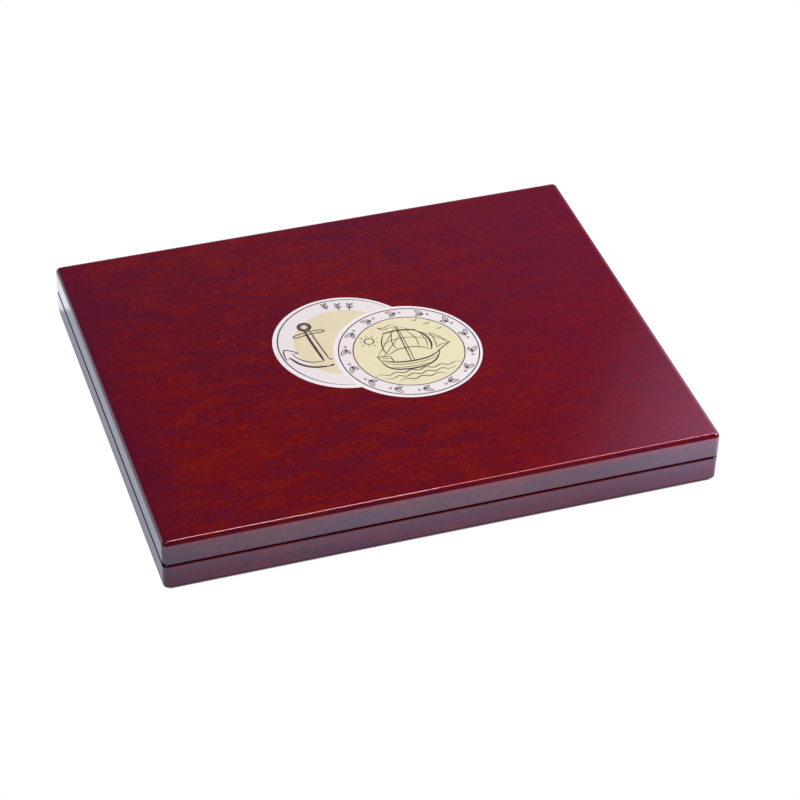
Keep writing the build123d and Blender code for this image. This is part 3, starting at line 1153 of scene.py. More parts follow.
@dataclass
class Shell:
    """What the lid's and the base's woodwork share: a rounded block, sawn into mitred rails."""

    box: tuple[Vector, Vector]
    veneers: tuple[bpy.types.Material, bpy.types.Material]
    body: str = ""
    faces_up: bool = False
    rail_width: float = 8.0
    corner_radius: float = 3.0
    corner_segments: int = 9
    edge_radius: float = 2.5
    edge_segments: int = 8
    rim_radius: float = 1.0
    rim_play: float = 0.15
    rim_segments: int = 5
    rear_chamfer: float = 1.8
    arris_radius: float = 0.28
    inner_ease: float = 0.45
    fine_segments: int = 3

    def __post_init__(self) -> None:
        """Reads the sizes off the whole case and the front rail."""
        low, high = self.box
        rail_low, rail_high = corners(f"{self.body}_front_rail")
        self.width, self.depth = high.x - low.x, high.y - low.y
        self.inner = (self.width / 2 - self.rail_width, self.depth / 2 - self.rail_width)
        if self.faces_up:
            self.far, self.rim = rail_low.z, Rim(rail_high.z - self.rim_play, 1)
        else:
            self.far, self.rim = high.z, Rim(rail_low.z + self.rim_play, -1)

    def outward(self, v: Vert) -> Vector:
        """Which way the outer wall faces, in plan.

        Args:
            v: A vertex of the wall.

        Returns:
            The direction, of length 1 on the wall itself.
        """
        inner = Vector((self.width / 2 - self.corner_radius, self.depth / 2 - self.corner_radius))
        away = Vector((max(0.0, abs(v.co.x) - inner.x), max(0.0, abs(v.co.y) - inner.y)))
        return Vector((math.copysign(away.x, v.co.x), math.copysign(away.y, v.co.y))).normalized()

    def block(self) -> Blank:
        """The closed outer form: rounded corners, edge and rim, with a flat chamfer at the rear.

        Returns:
            The block, before it is sawn.
        """
        half = (self.width / 2, self.depth / 2)
        low, high = sorted((self.far, self.rim.height))
        blank = Blank.box((-half[0], -half[1], low), (*half, high))
        blank.round_off(blank.uprights(), self.corner_radius, self.corner_segments)
        blank.round_off(blank.edges_at(2, self.far), self.edge_radius, self.edge_segments)
        blank.round_off(blank.edges_at(2, self.rim.height), self.rim_radius, self.rim_segments)
        shoulder = self.rim.height - self.rim.up * self.rim_radius
        arrises = [*blank.edges_at(2, shoulder), *blank.edges_at(2, self.rim.height)]
        self.chamfer_rear_rim(blank)
        blank.round_off(arrises, self.arris_radius, self.fine_segments)
        return blank

    def chamfer_rear_rim(self, blank: Blank) -> None:
        """Draws the rim's round out to a flat chamfer along the rear, easing into it round the corners.

        Args:
            blank: The block with an evenly rounded rim.
        """
        for v in blank.bm.verts:
            down = abs(v.co.z - self.rim.height)
            share = max(0.0, self.outward(v).y) ** 2 if v.co.y > 0 else 0.0
            if share == 0.0 or down > self.rim_radius + NEAR:
                continue
            turn = math.asin(max(0.0, 1 - down / self.rim_radius))
            inset = self.rim_radius * (1 - math.cos(turn))
            climb = turn / (math.pi / 2)
            lower = lerp(down, self.rear_chamfer * (1 - climb), share)
            shift = self.outward(v) * (self.rear_chamfer * climb - inset) * share
            v.co = (v.co.x - shift.x, v.co.y - shift.y, self.rim.height - self.rim.up * lower)

    def rail(self, side: Side, top: float | None = None) -> Blank:
        """Saws one mitred rail out of the block.

        Args:
            side: The side it lies on.
            top: Where a level saw cut ends it, if not at the block's top.

        Returns:
            The rail, with its inner rim edge eased.
        """
        blank = self.block()
        nx, ny = side.value
        x, y = self.inner
        if top is not None:
            blank.slice_off((0, 0, top), (0, 0, 1))
        blank.slice_off((nx * x, ny * y, 0), (-nx, -ny, 0))
        for along in (-1, 1):
            if side.runs_along_width:
                blank.slice_off((along * x, ny * y, 0), (along, -ny, 0))
            else:
                blank.slice_off((nx * x, along * y, 0), (-nx, along, 0))
        axis = 1 if side.runs_along_width else 0
        inner_face = set(blank.edges_at(axis, side.value[axis] * self.inner[axis]))
        inner_rim = [edge for edge in blank.edges_at(2, self.rim.height) if edge in inner_face]
        blank.round_off(inner_rim, self.inner_ease, self.fine_segments)
        return blank

    def build_rails(self, hardware: Hardware, top: float | None = None) -> None:
        """Saws, carves and veneers the four rails.

        Args:
            hardware: What is let into the rims.
            top: Where a level saw cut ends them, if not at the block's top.
        """
        for side in Side:
            blank = self.rail(side, top)
            cuts = hardware.cuts(side, self.rim)
            if cuts:
                blank.carve(*cuts)
            name = f"{self.body}_{side.name.lower()}"
            self.finish_wood(blank, f"{name}_wall", side.runs_along_width, f"{name}_rail")

    def finish_wood(self, blank: Blank, name: str, lengthwise: bool, node: str) -> None:
        """Lays the veneer on a wooden piece with its grain along each face.

        Args:
            blank: The shaped piece.
            name: Its name.
            lengthwise: Whether its level faces have the grain along the width.
            node: The solid it stands for.
        """
        thing = blank.finished(name)
        for face in thing.data.polygons:
            if lengthwise:
                face.material_index = 1 if abs(face.normal.x) > HALF_ROOT + NEAR else 0
            else:
                face.material_index = 0 if abs(face.normal.y) > HALF_ROOT - NEAR else 1
        dress(thing, self.body, self.veneers, (node,))


@dataclass
class LidWoodwork(Shell):
    """The lid's top panel and its four mitred rails."""

    body: str = "lid"

    def build(self, hardware: Hardware, emblems: Sequence["Emblem"]) -> None:
        """Makes the lid.

        Args:
            hardware: What is let into the rims.
            emblems: What is let into the top.
        """
        panel_low = corners("lid_panel")[0].z
        panel = self.block()
        panel.slice_off((0, 0, panel_low), (0, 0, -1))
        panel.carve(*(emblem.recess(emblem.thickness) for emblem in emblems))
        self.finish_wood(panel, "lid_top_panel", True, "lid_panel")
        self.build_rails(hardware, panel_low)


@dataclass
class BaseWoodwork(Shell):
    """The base's four mitred rails with the rebate for the floor."""

    body: str = "base"
    faces_up: bool = True
    rebate_reach: float = 3.0

    def rail(self, side: Side, top: float | None = None) -> Blank:
        """Saws one rail and cuts the floor's rebate into it.

        Args:
            side: The side it lies on.
            top: Where a level saw cut ends it, if not at the block's top.

        Returns:
            The rail.
        """
        x, y = (reach + self.rebate_reach for reach in self.inner)
        rebate = Blank.box((-x, -y, self.far - 1), (x, y, corners("base_floor")[1].z))
        return super().rail(side, top).carve(rebate)


# --- Emblems ---


@dataclass(frozen=True)
class Stroke:
    """A pen stroke through a few points, in millimetres from the emblem's middle."""

    points: tuple[Point, ...]
    width: float = 0.45
    closed: bool = False
    taper: float = 0.75


@dataclass
class Emblem:
    """A thin printed plate with a bright border, a ring, a core and line work."""

    node: str
    line_radius: float
    core_radius: float
    line_shift: Point
    core_shift: Point
    strokes: list[Stroke]
    segments: int = 192
    play: float = 0.05
    ink_height: float = 0.035
    ink_weight: float = 1.16
    thinnest: float = 0.07
    ink_margin: float = 0.1

    def __post_init__(self) -> None:
        """Reads the plate's place off its solid, whose left and rear edges are whole."""
        low, high = corners(self.node)
        self.top, self.thickness = high.z, high.z - low.z
        self.radius = self.whole_radius()
        self.centre = (low.x + self.radius, high.y - self.radius)
        self.line_centre, self.core_centre = (
            (self.centre[0] + dx, self.centre[1] + dy) for dx, dy in (self.line_shift, self.core_shift)
        )

    @staticmethod
    def whole_radius() -> float:
        """The radius that both plates have, read off the one that is a whole disc."""
        low, high = corners("front_emblem")
        return (high.x - low.x) / 2

    def recess(self, depth: float) -> Blank:
        """What the plate takes out of its surroundings, down to a depth below its top."""
        ends = (self.top - depth, self.top + 1.0)
        return Blank.disc(self.radius + self.play, *ends, self.centre, self.segments)

    def plate(self) -> Blank:
        """The round plate, its top parted into core, ring and border.

        Returns:
            The plate; faces of the core have index 2, of the ring 1 and of the border 0.
        """
        blank = Blank()
        bm = blank.bm
        bmesh.ops.create_circle(bm, cap_ends=True, radius=self.core_radius, segments=self.segments)
        blank.shift((*self.core_centre, self.top))
        for face in bm.faces:
            face.material_index = 2
        grown, middle = self.core_radius, self.core_centre
        rings = ((self.line_radius, self.line_centre, 1), (self.radius, self.centre, 0))
        for radius, centre, index in rings:
            inside = set(bm.faces)
            widened = blank.extrude_rim()
            back = Matrix.Translation((-middle[0], -middle[1], 0))
            bmesh.ops.scale(bm, vec=(radius / grown, radius / grown, 1), space=back, verts=widened)
            blank.shift((centre[0] - middle[0], centre[1] - middle[1], 0), widened)
            for face in set(bm.faces) - inside:
                face.material_index = index
            grown, middle = radius, centre
        blank.shift((0, 0, -self.thickness), blank.extrude_rim())
        blank.close()
        return blank

    def ink(self, finish: bpy.types.Material, hidden_by: "Emblem | None" = None) -> None:
        """Draws the line work as low rounded ridges of ink.

        Args:
            finish: The ink.
            hidden_by: A plate that lies over this one; no line runs under it.
        """
        name = f"{self.node}_lines"
        curve = bpy.data.curves.new(name, "CURVE")
        curve.dimensions = "3D"
        curve.bevel_depth, curve.bevel_resolution = 1.0, 2
        curve.use_fill_caps = True
        for stroke in self.strokes:
            for run in self.visible_runs(stroke, hidden_by):
                self.draw(curve, stroke, run)
        drawn = in_scene(bpy.data.objects.new(name, curve))
        blank = Blank()
        blank.take(final_mesh(drawn))
        bpy.data.objects.remove(drawn)
        bpy.data.curves.remove(curve)
        thickest = max(v.co.z for v in blank.bm.verts)
        blank.stretch((1, 1, self.ink_height / thickest))
        blank.shift((*self.line_centre, self.top))
        bmesh.ops.remove_doubles(blank.bm, verts=blank.bm.verts[:], dist=NEAR / 10)
        blank.face_outwards()
        dress(blank.finished(name), "lid", (finish,))

    def draw(self, curve: bpy.types.Curve, stroke: Stroke, run: Sequence[Point]) -> None:
        """Adds one run of a stroke to the ink, thinner towards open ends.

        Args:
            curve: The ink's curve.
            stroke: The stroke.
            run: The run's points.
        """
        whole = stroke.closed and len(run) == len(flowing(stroke.points, True))
        spline = curve.splines.new("POLY")
        spline.use_cyclic_u = whole
        spline.points.add(len(run) - 1)
        last = max(1, len(run) - 1)
        for i, (spot, (x, y)) in enumerate(zip(spline.points, run)):
            swell = math.sin(math.pi * i / last)
            share = 1.0 if whole else 1 - stroke.taper * (1 - swell) ** 2
            spot.co = (x, y, 0.0, 1.0)
            spot.radius = max(self.thinnest, stroke.width * self.ink_weight / 2 * share)

    def visible_runs(self, stroke: Stroke, hidden_by: "Emblem | None") -> list[list[Point]]:
        """The parts of a stroke that another plate leaves in view.

        Args:
            stroke: The stroke.
            hidden_by: The plate that lies over this one, or None.

        Returns:
            Runs of points, each of at least two.
        """
        run = flowing(stroke.points, stroke.closed)
        if hidden_by is None:
            return [run]
        dx = self.line_centre[0] - hidden_by.centre[0]
        dy = self.line_centre[1] - hidden_by.centre[1]
        reach = hidden_by.radius + stroke.width / 2 + self.ink_margin
        runs: list[list[Point]] = [[]]
        for x, y in run:
            if math.hypot(x + dx, y + dy) > reach:
                runs[-1].append((x, y))
            elif runs[-1]:
                runs.append([])
        if stroke.closed and len(runs) > 1 and runs[-1]:
            runs[0] = runs.pop() + runs[0]
        return [points for points in runs if len(points) > 1]


def flowing(points: Sequence[Point], closed: bool, spacing: float = 0.6) -> list[Point]:
    """A smooth line through points.

    Args:
        points: The points; a straight stroke has two.
        closed: Whether the line ends where it starts.
        spacing: About how far apart the line's own points lie.

    Returns:
        The line's points.
    """
    count = len(points)
    spans = count if closed else count - 1
    line: list[Point] = []
    for i in range(spans):
        quad = [
            Vector(points[k % count] if closed else points[min(max(k, 0), count - 1)])
            for k in (i - 1, i, i + 1, i + 2)
        ]
        steps = max(1, round((quad[2] - quad[1]).length / spacing))
        for step in range(steps):
            t = step / steps
            a = 2 * quad[1]
            b = quad[2] - quad[0]
            c = 2 * quad[0] - 5 * quad[1] + 4 * quad[2] - quad[3]
            d = 3 * (quad[1] - quad[2]) + quad[3] - quad[0]
            spot = (a + b * t + c * t * t + d * t**3) / 2
            line.append((spot.x, spot.y))
    if not closed:
        line.append(tuple(points[-1]))
    return line


def circle(
    radius: float, centre: Point = (0.0, 0.0), count: int = 24, wobble: float = 0.0
) -> tuple[Point, ...]:
    """Points round a circle.

    Args:
        radius: Its radius.
        centre: Its middle.
        count: How many points.
        wobble: How far a steady hand strays, in millimetres.

    Returns:
        The points.
    """
    hand = random.Random(round(radius * 100) + count)
    around = []
    for i in range(count):
        angle = 2 * math.pi * i / count
        reach = radius + hand.uniform(-wobble, wobble)
        around.append((centre[0] + reach * math.cos(angle), centre[1] + reach * math.sin(angle)))
    return tuple(around)


def moved(points: Iterable[Point], angle: float, spot: Point, grow: float = 1.0) -> tuple[Point, ...]:
    """Points turned about their origin and put somewhere.

    Args:
        points: The points.
        angle: The turn, in degrees.
        spot: Where the origin goes.
        grow: The factor they grow by.

    Returns:
        The moved points.
    """
    c, s = math.cos(math.radians(angle)) * grow, math.sin(math.radians(angle)) * grow
    return tuple((spot[0] + x * c - y * s, spot[1] + x * s + y * c) for x, y in points)


LEAF_OUTLINE = ((0, 0), (1.6, 1.25), (3.9, 1.45), (6.6, 0.1), (4.1, -1.15), (1.7, -1.2))
LEAF_RIB = ((-1.3, -0.1), (1.6, 0.15), (5.0, 0.1))
BORDER_START = 8.0  # degrees from +X to the first pair of leaves
BORDER_LEAVES = ((66.0, 0.82), (124.0, 0.66))  # how far a leaf turns from its spoke, and its size
BERRY_RADIUS = 0.62
BERRY_OUTWARD = 0.4
BERRY_TURN = -4.2  # degrees from a pair of leaves to its berry
SPRIG_STEP = 2.6  # from one pair of leaves to the next
SPRIG_TIP = 1.5
SPRIG_LEAN = 38.0  # degrees between a leaf and its stem
SPRIG_LEAF = (0.42, 0.34)  # a leaf's size and the width of its lines
ANCHOR_TILT = 6.0


def leaf(angle: float, spot: Point, grow: float = 1.0, width: float = 0.46) -> list[Stroke]:
    """An outlined leaf with its rib.

    Args:
        angle: Which way it points, in degrees.
        spot: Where it joins its stem.
        grow: Its size against the plain leaf's.
        width: How wide its lines are.

    Returns:
        Its strokes.
    """
    return [
        Stroke(moved(LEAF_OUTLINE, angle, spot, grow), width, True),
        Stroke(moved(LEAF_RIB, angle, spot, grow), width * 0.85),
    ]


def leaf_border(radius: float, count: int) -> list[Stroke]:
    """A border of leaves in pairs with berries between them, round a ring.

    Args:
        radius: The radius of the leaves' feet.
        count: How many pairs.

    Returns:
        The strokes.
    """
    strokes: list[Stroke] = []
    for i in range(count):
        angle = 360.0 * i / count + BORDER_START
        spot = moved(((radius, 0.0),), angle, (0.0, 0.0))[0]
        for turn, grow in BORDER_LEAVES:
            strokes += leaf(angle + turn, spot, grow)
        berry = moved(((radius + BERRY_OUTWARD, 0.0),), angle + BERRY_TURN, (0.0, 0.0))[0]
        strokes.append(Stroke(circle(BERRY_RADIUS, berry, 8), 0.42, True))
    return strokes


def sailing_ship() -> list[Stroke]:
    """A small square-rigged ship on three lines of waves, under a sun and gulls.

    Returns:
        The strokes.
    """
    fine, plain, bold = 0.46, 0.62, 1.05
    hull_left = ((-17.5, -4.2), (-16.4, -9.2), (-12.2, -13.6))
    pennant_top = ((-0.4, 24.6), (-4.0, 25.3), (-7.0, 23.6), (-10.6, 24.4))
    lines = [
        (((-17.5, -4.2), (-10, -7.8), (0, -9.2), (9, -8.2), (16.5, -4.4)), bold),
        ((*hull_left, (-3, -15.6), (6.5, -14.6), (12.6, -10.8), (16.5, -4.4)), bold),
        (((-16.8, -6.8), (-9.4, -10.2), (0, -11.4), (8.4, -10.5), (14.8, -7.6)), fine),
        (((-14.6, -11.2), (-8.6, -13.0), (0, -13.8), (7.4, -13.0)), fine),
        (((-17.5, -4.2), (-18.7, -0.4)), plain),
        (((-18.7, -0.4), (-11.6, -2.0)), plain),
        (((-11.6, -2.0), (-10.8, -7.3)), plain),
        (((-16.4, -2.6), (-12.4, -3.5)), fine),
        (((-1.5, -8.9), (-1.0, 8.0), (-0.6, 23.5)), plain, False, 0.3),
        (((0.3, -9.0), (0.5, 8.0), (0.2, 23.5)), fine, False, 0.3),
        ((*pennant_top, (-7.6, 21.9), (-4.0, 22.9), (-0.4, 22.0)), fine),
        (((-9.8, 18.6), (0, 19.4), (9.4, 17.2)), bold, False, 0.5),
        (((-9.2, 18.2), (-12.4, 11.0), (-13.2, 3.6), (-12.0, -0.6)), plain),
        (((8.9, 16.8), (13.2, 10.2), (13.9, 3.4), (12.4, -2.0)), bold),
        (((-12.0, -0.6), (-6.0, 2.6), (0.4, 3.2), (7.0, 1.6), (12.4, -2.0)), plain),
        (((-12.8, 9.2), (-5.6, 11.6), (1.0, 12.0), (7.6, 10.6), (13.4, 7.4)), fine),
        (((-4.2, 18.6), (-6.6, 10.6), (-6.2, 3.2)), fine),
        (((4.0, 18.0), (7.0, 10.0), (6.6, 2.4)), fine),
        (((10.8, 12.6), (12.0, 6.6), (11.0, 1.0)), fine),
        (((14.4, -5.4), (19.4, -1.6), (24.6, 1.6)), plain, False, 0.5),
        (((23.4, 0.9), (20.4, 7.0), (15.6, 12.8)), fine),
        (((23.4, 0.9), (18.8, 0.6), (15.6, -1.6)), fine),
        (((15.6, 12.8), (16.6, 5.4), (15.6, -1.6)), fine),
        (((0.3, 23.0), (12.0, 13.8), (24.0, 1.3)), fine * 0.8),
        (((-1.0, 22.6), (-11.0, 9.0), (-18.4, -0.6)), fine * 0.8),
        (((-1.2, 14.0), (-16.0, -2.4)), fine * 0.8),
    ]
    strokes = [Stroke(*line) for line in lines]
    for row, (reach, height, count) in enumerate(((25.5, -17.2, 13), (20.5, -20.6, 11), (13.5, -24.0, 7))):
        wave = [
            (lerp(-reach, reach, i / (count - 1)), height + (0.85 if (i + row) % 2 else -0.75))
            for i in range(count)
        ]
        strokes.append(Stroke(tuple(wave), plain))
    sun = (-18.6, 14.2)
    strokes.append(Stroke(circle(2.7, sun, 12), plain, True))
    for i in range(9):
        angle = 360.0 * i / 9 + 12
        strokes.append(Stroke(moved(((3.9, 0.0), (6.0 if i % 2 else 5.4, 0.3)), angle, sun), fine))
    for x, y, grow in ((17.2, 20.4, 1.0), (22.6, 14.4, 0.8), (11.6, 25.2, 0.7)):
        bird = ((-2.6, 0.5), (-1.3, 1.3), (0, 0), (1.4, 1.4), (2.8, 0.7))
        strokes.append(Stroke(moved(bird, 8.0, (x, y), grow), fine))
    return strokes


def anchor(spot: Point, grow: float) -> list[Stroke]:
    """A large outlined anchor with thick and thin lines.

    Args:
        spot: The middle of its shank.
        grow: Its size against the plain drawing's.

    Returns:
        The strokes.
    """
    plain, bold = 0.7, 1.35
    drawing = [
        (((-1.2, 15.6), (-1.6, 4.0), (-1.5, -14.0)), bold, False),
        (((1.5, 15.6), (1.5, 4.0), (1.9, -14.0)), plain, False),
        (((-8.2, 11.4), (-8.4, 13.4), (0.0, 14.3), (8.2, 13.2), (8.4, 11.2), (0.0, 12.0)), plain, True),
        (((-1.5, -14.0), (-8.0, -12.6), (-13.2, -8.0), (-16.0, -1.8)), plain, False),
        (((0.2, -19.4), (-8.6, -17.2), (-15.0, -11.6), (-18.2, -4.2)), bold, False),
        (((1.9, -14.0), (8.0, -12.4), (13.4, -7.6), (16.2, -1.4)), plain, False),
        (((0.2, -19.4), (9.0, -17.0), (15.4, -11.2), (18.4, -3.8)), bold, False),
        (((-18.2, -4.2), (-20.6, -5.0), (-18.6, 3.4), (-12.4, -1.8), (-16.0, -1.8)), plain, False),
        (((18.4, -3.8), (20.6, -4.8), (18.8, 3.6), (12.6, -1.4), (16.2, -1.4)), plain, False),
    ]
    strokes = [
        Stroke(moved(points, ANCHOR_TILT, spot, grow), width, closed, 0.55 if width == bold else 0.7)
        for points, width, closed in drawing
    ]
    eye = moved(((0.0, 19.2),), ANCHOR_TILT, spot, grow)[0]
    strokes.append(Stroke(circle(3.4 * grow, eye, 14), bold, True))
    strokes.append(Stroke(circle(2.1 * grow, eye, 12), plain * 0.8, True))
    return strokes


def sprig(foot: Point, angle: float, count: int) -> list[Stroke]:
    """A thin upright sprig with small leaves in pairs.

    Args:
        foot: Where its stem starts.
        angle: Which way it grows, in degrees.
        count: How many pairs of leaves.

    Returns:
        The strokes.
    """
    length = SPRIG_STEP * count + SPRIG_TIP
    stem = ((0.0, 0.0), (length * 0.5, 0.5), (length, 0.0))
    strokes = [Stroke(moved(stem, angle, foot), 0.42)]
    for i in range(count):
        for lean in (-1, 1):
            joint = (SPRIG_STEP * (i + 1), 0.35 * (1 if i % 2 else 0.6))
            strokes += leaf(angle + lean * SPRIG_LEAN, moved((joint,), angle, foot)[0], *SPRIG_LEAF)
    return strokes


# --- Sub-assemblies ---


@dataclass
class Emblems:
    """The pair of round emblems let into the lid."""

    border: PrintedEmblem = PrintedEmblem("emblem_border_print", (0.62, 0.715, 0.675), (0.535, 0.62, 0.585))
    ring: PrintedEmblem = PrintedEmblem("emblem_ring_print", (0.58, 0.67, 0.615), (0.50, 0.58, 0.53))
    front_core: PrintedEmblem = PrintedEmblem("emblem_core_print", (0.57, 0.64, 0.385), (0.48, 0.53, 0.30))
    rear_core: PrintedEmblem = PrintedEmblem(
        "emblem_rear_core_print", (0.56, 0.61, 0.39), (0.45, 0.49, 0.29), grain=0.4
    )
    line_radius: float = 38.8
    inner_line_radius: float = 30.8
    leaf_radius: float = 34.8
    leaf_pairs: int = 14
    front_core_radius: float = 30.4
    rear_core_radius: float = 29.4
    front_shifts: tuple[Point, Point] = ((0.65, -0.15), (0.60, -0.10))
    rear_shifts: tuple[Point, Point] = ((0.55, 0.35), (0.05, 0.05))
    anchor_place: Point = (-17.5, 0.5)
    anchor_size: float = 0.98
    sprigs: tuple[tuple[Point, float], ...] = (((4.0, 28.0), 84.0), ((9.5, 26.5), 72.0), ((-2.0, 30.0), 97.0))
    sprig_pairs: int = 2

    def __post_init__(self) -> None:
        """Draws both designs."""
        ship_and_leaves = [
            Stroke(circle(self.line_radius, count=40, wobble=0.05), 0.62, True),
            Stroke(circle(self.inner_line_radius, count=36, wobble=0.06), 0.56, True),
            *leaf_border(self.leaf_radius, self.leaf_pairs),
            *sailing_ship(),
        ]
        anchor_and_sprigs = [
            Stroke(circle(self.line_radius, count=40, wobble=0.06), 0.66, True),
            *anchor(self.anchor_place, self.anchor_size),
        ]
        for foot, lean in self.sprigs:
            anchor_and_sprigs += sprig(foot, lean, self.sprig_pairs)
        front_radii = (self.line_radius, self.front_core_radius)
        rear_radii = (self.line_radius, self.rear_core_radius)
        self.front = Emblem("front_emblem", *front_radii, *self.front_shifts, ship_and_leaves)
        self.rear = Emblem("rear_emblem", *rear_radii, *self.rear_shifts, anchor_and_sprigs)

    def build(self) -> None:
        """Makes both plates and their line work."""
        border, ring, ink = self.border.material(), self.ring.material(), PrintingInk().material()
        for emblem, core in ((self.front, self.front_core), (self.rear, self.rear_core)):
            plate = emblem.plate()
            if emblem is self.rear:
                plate.carve(self.front.recess(2 * self.front.thickness))
            finishes = (border, ring, core.material())
            dress(plate.finished(f"{emblem.node}_plate"), "lid", finishes, (emblem.node,))
        self.front.ink(ink)
        self.rear.ink(ink, self.front)


@dataclass
class Tray:
    """The velour insert with its round pockets, over a backing sheet."""

    velour: bpy.types.Material
    columns: int = 6
    rows: int = 5
    pitch: Point = (47.0, 45.5)
    pocket_radius: float = 16.5
    lip_radius: float = 0.8
    lip_segments: int = 4
    outer_round: float = 0.5
    outer_segments: int = 3
    segments: int = 64

    def build(self) -> None:
        """Makes the board and dresses the backing."""
        low, high = corners("tray_board")
        blank = self.top_face(low, high)
        bm = blank.bm
        lowered = bmesh.ops.extrude_face_region(bm, geom=bm.faces[:], use_keep_orig=True)["geom"]
        blank.shift((0, 0, low.z - high.z), [part for part in lowered if isinstance(part, Vert)])
        blank.face_outwards()

        def is_mouth(edge: Edge) -> bool:
            """Whether an edge lies between the top and a wall."""
            level = all(abs(v.co.z - high.z) < NEAR for v in edge.verts)
            return level and len(edge.link_faces) == 2 and edge.calc_face_angle(0.0) > 1.0

        def is_outer(edge: Edge) -> bool:
            """Whether it does so along the board's outside, whose edges are longer than a pocket."""
            return is_mouth(edge) and edge.calc_length() > 2 * self.pocket_radius

        lips = blank.edges(lambda edge: is_mouth(edge) and not is_outer(edge))
        blank.round_off(lips, self.lip_radius, self.lip_segments)
        blank.round_off(blank.edges(is_outer), self.outer_round, self.outer_segments)
        dress(blank.finished("pocket_tray"), "base", (self.velour,), ("tray_board",))
        repaint("tray_backing", self.velour)

    def top_face(self, low: Vector, high: Vector) -> Blank:
        """The board's upper face with its round openings.

        Args:
            low: The board's lowest corner.
            high: Its highest corner.

        Returns:
            The face, filled with triangles round the openings.
        """
        blank = Blank()
        bm = blank.bm
        bmesh.ops.create_grid(bm, x_segments=1, y_segments=1, size=0.5)
        blank.stretch((high.x - low.x, high.y - low.y, 1))
        blank.shift((0, 0, high.z))
        bmesh.ops.delete(bm, geom=bm.faces[:], context="FACES_ONLY")
        for row in range(self.rows):
            for column in range(self.columns):
                x = (column - (self.columns - 1) / 2) * self.pitch[0]
                y = (row - (self.rows - 1) / 2) * self.pitch[1]
                ring = bmesh.ops.create_circle(bm, radius=self.pocket_radius, segments=self.segments)
                blank.shift((x, y, high.z), ring["verts"])
        bmesh.ops.triangle_fill(bm, use_beauty=True, use_dissolve=False, edges=bm.edges[:], normal=(0, 0, 1))
        blank.face_outwards()
        return blank


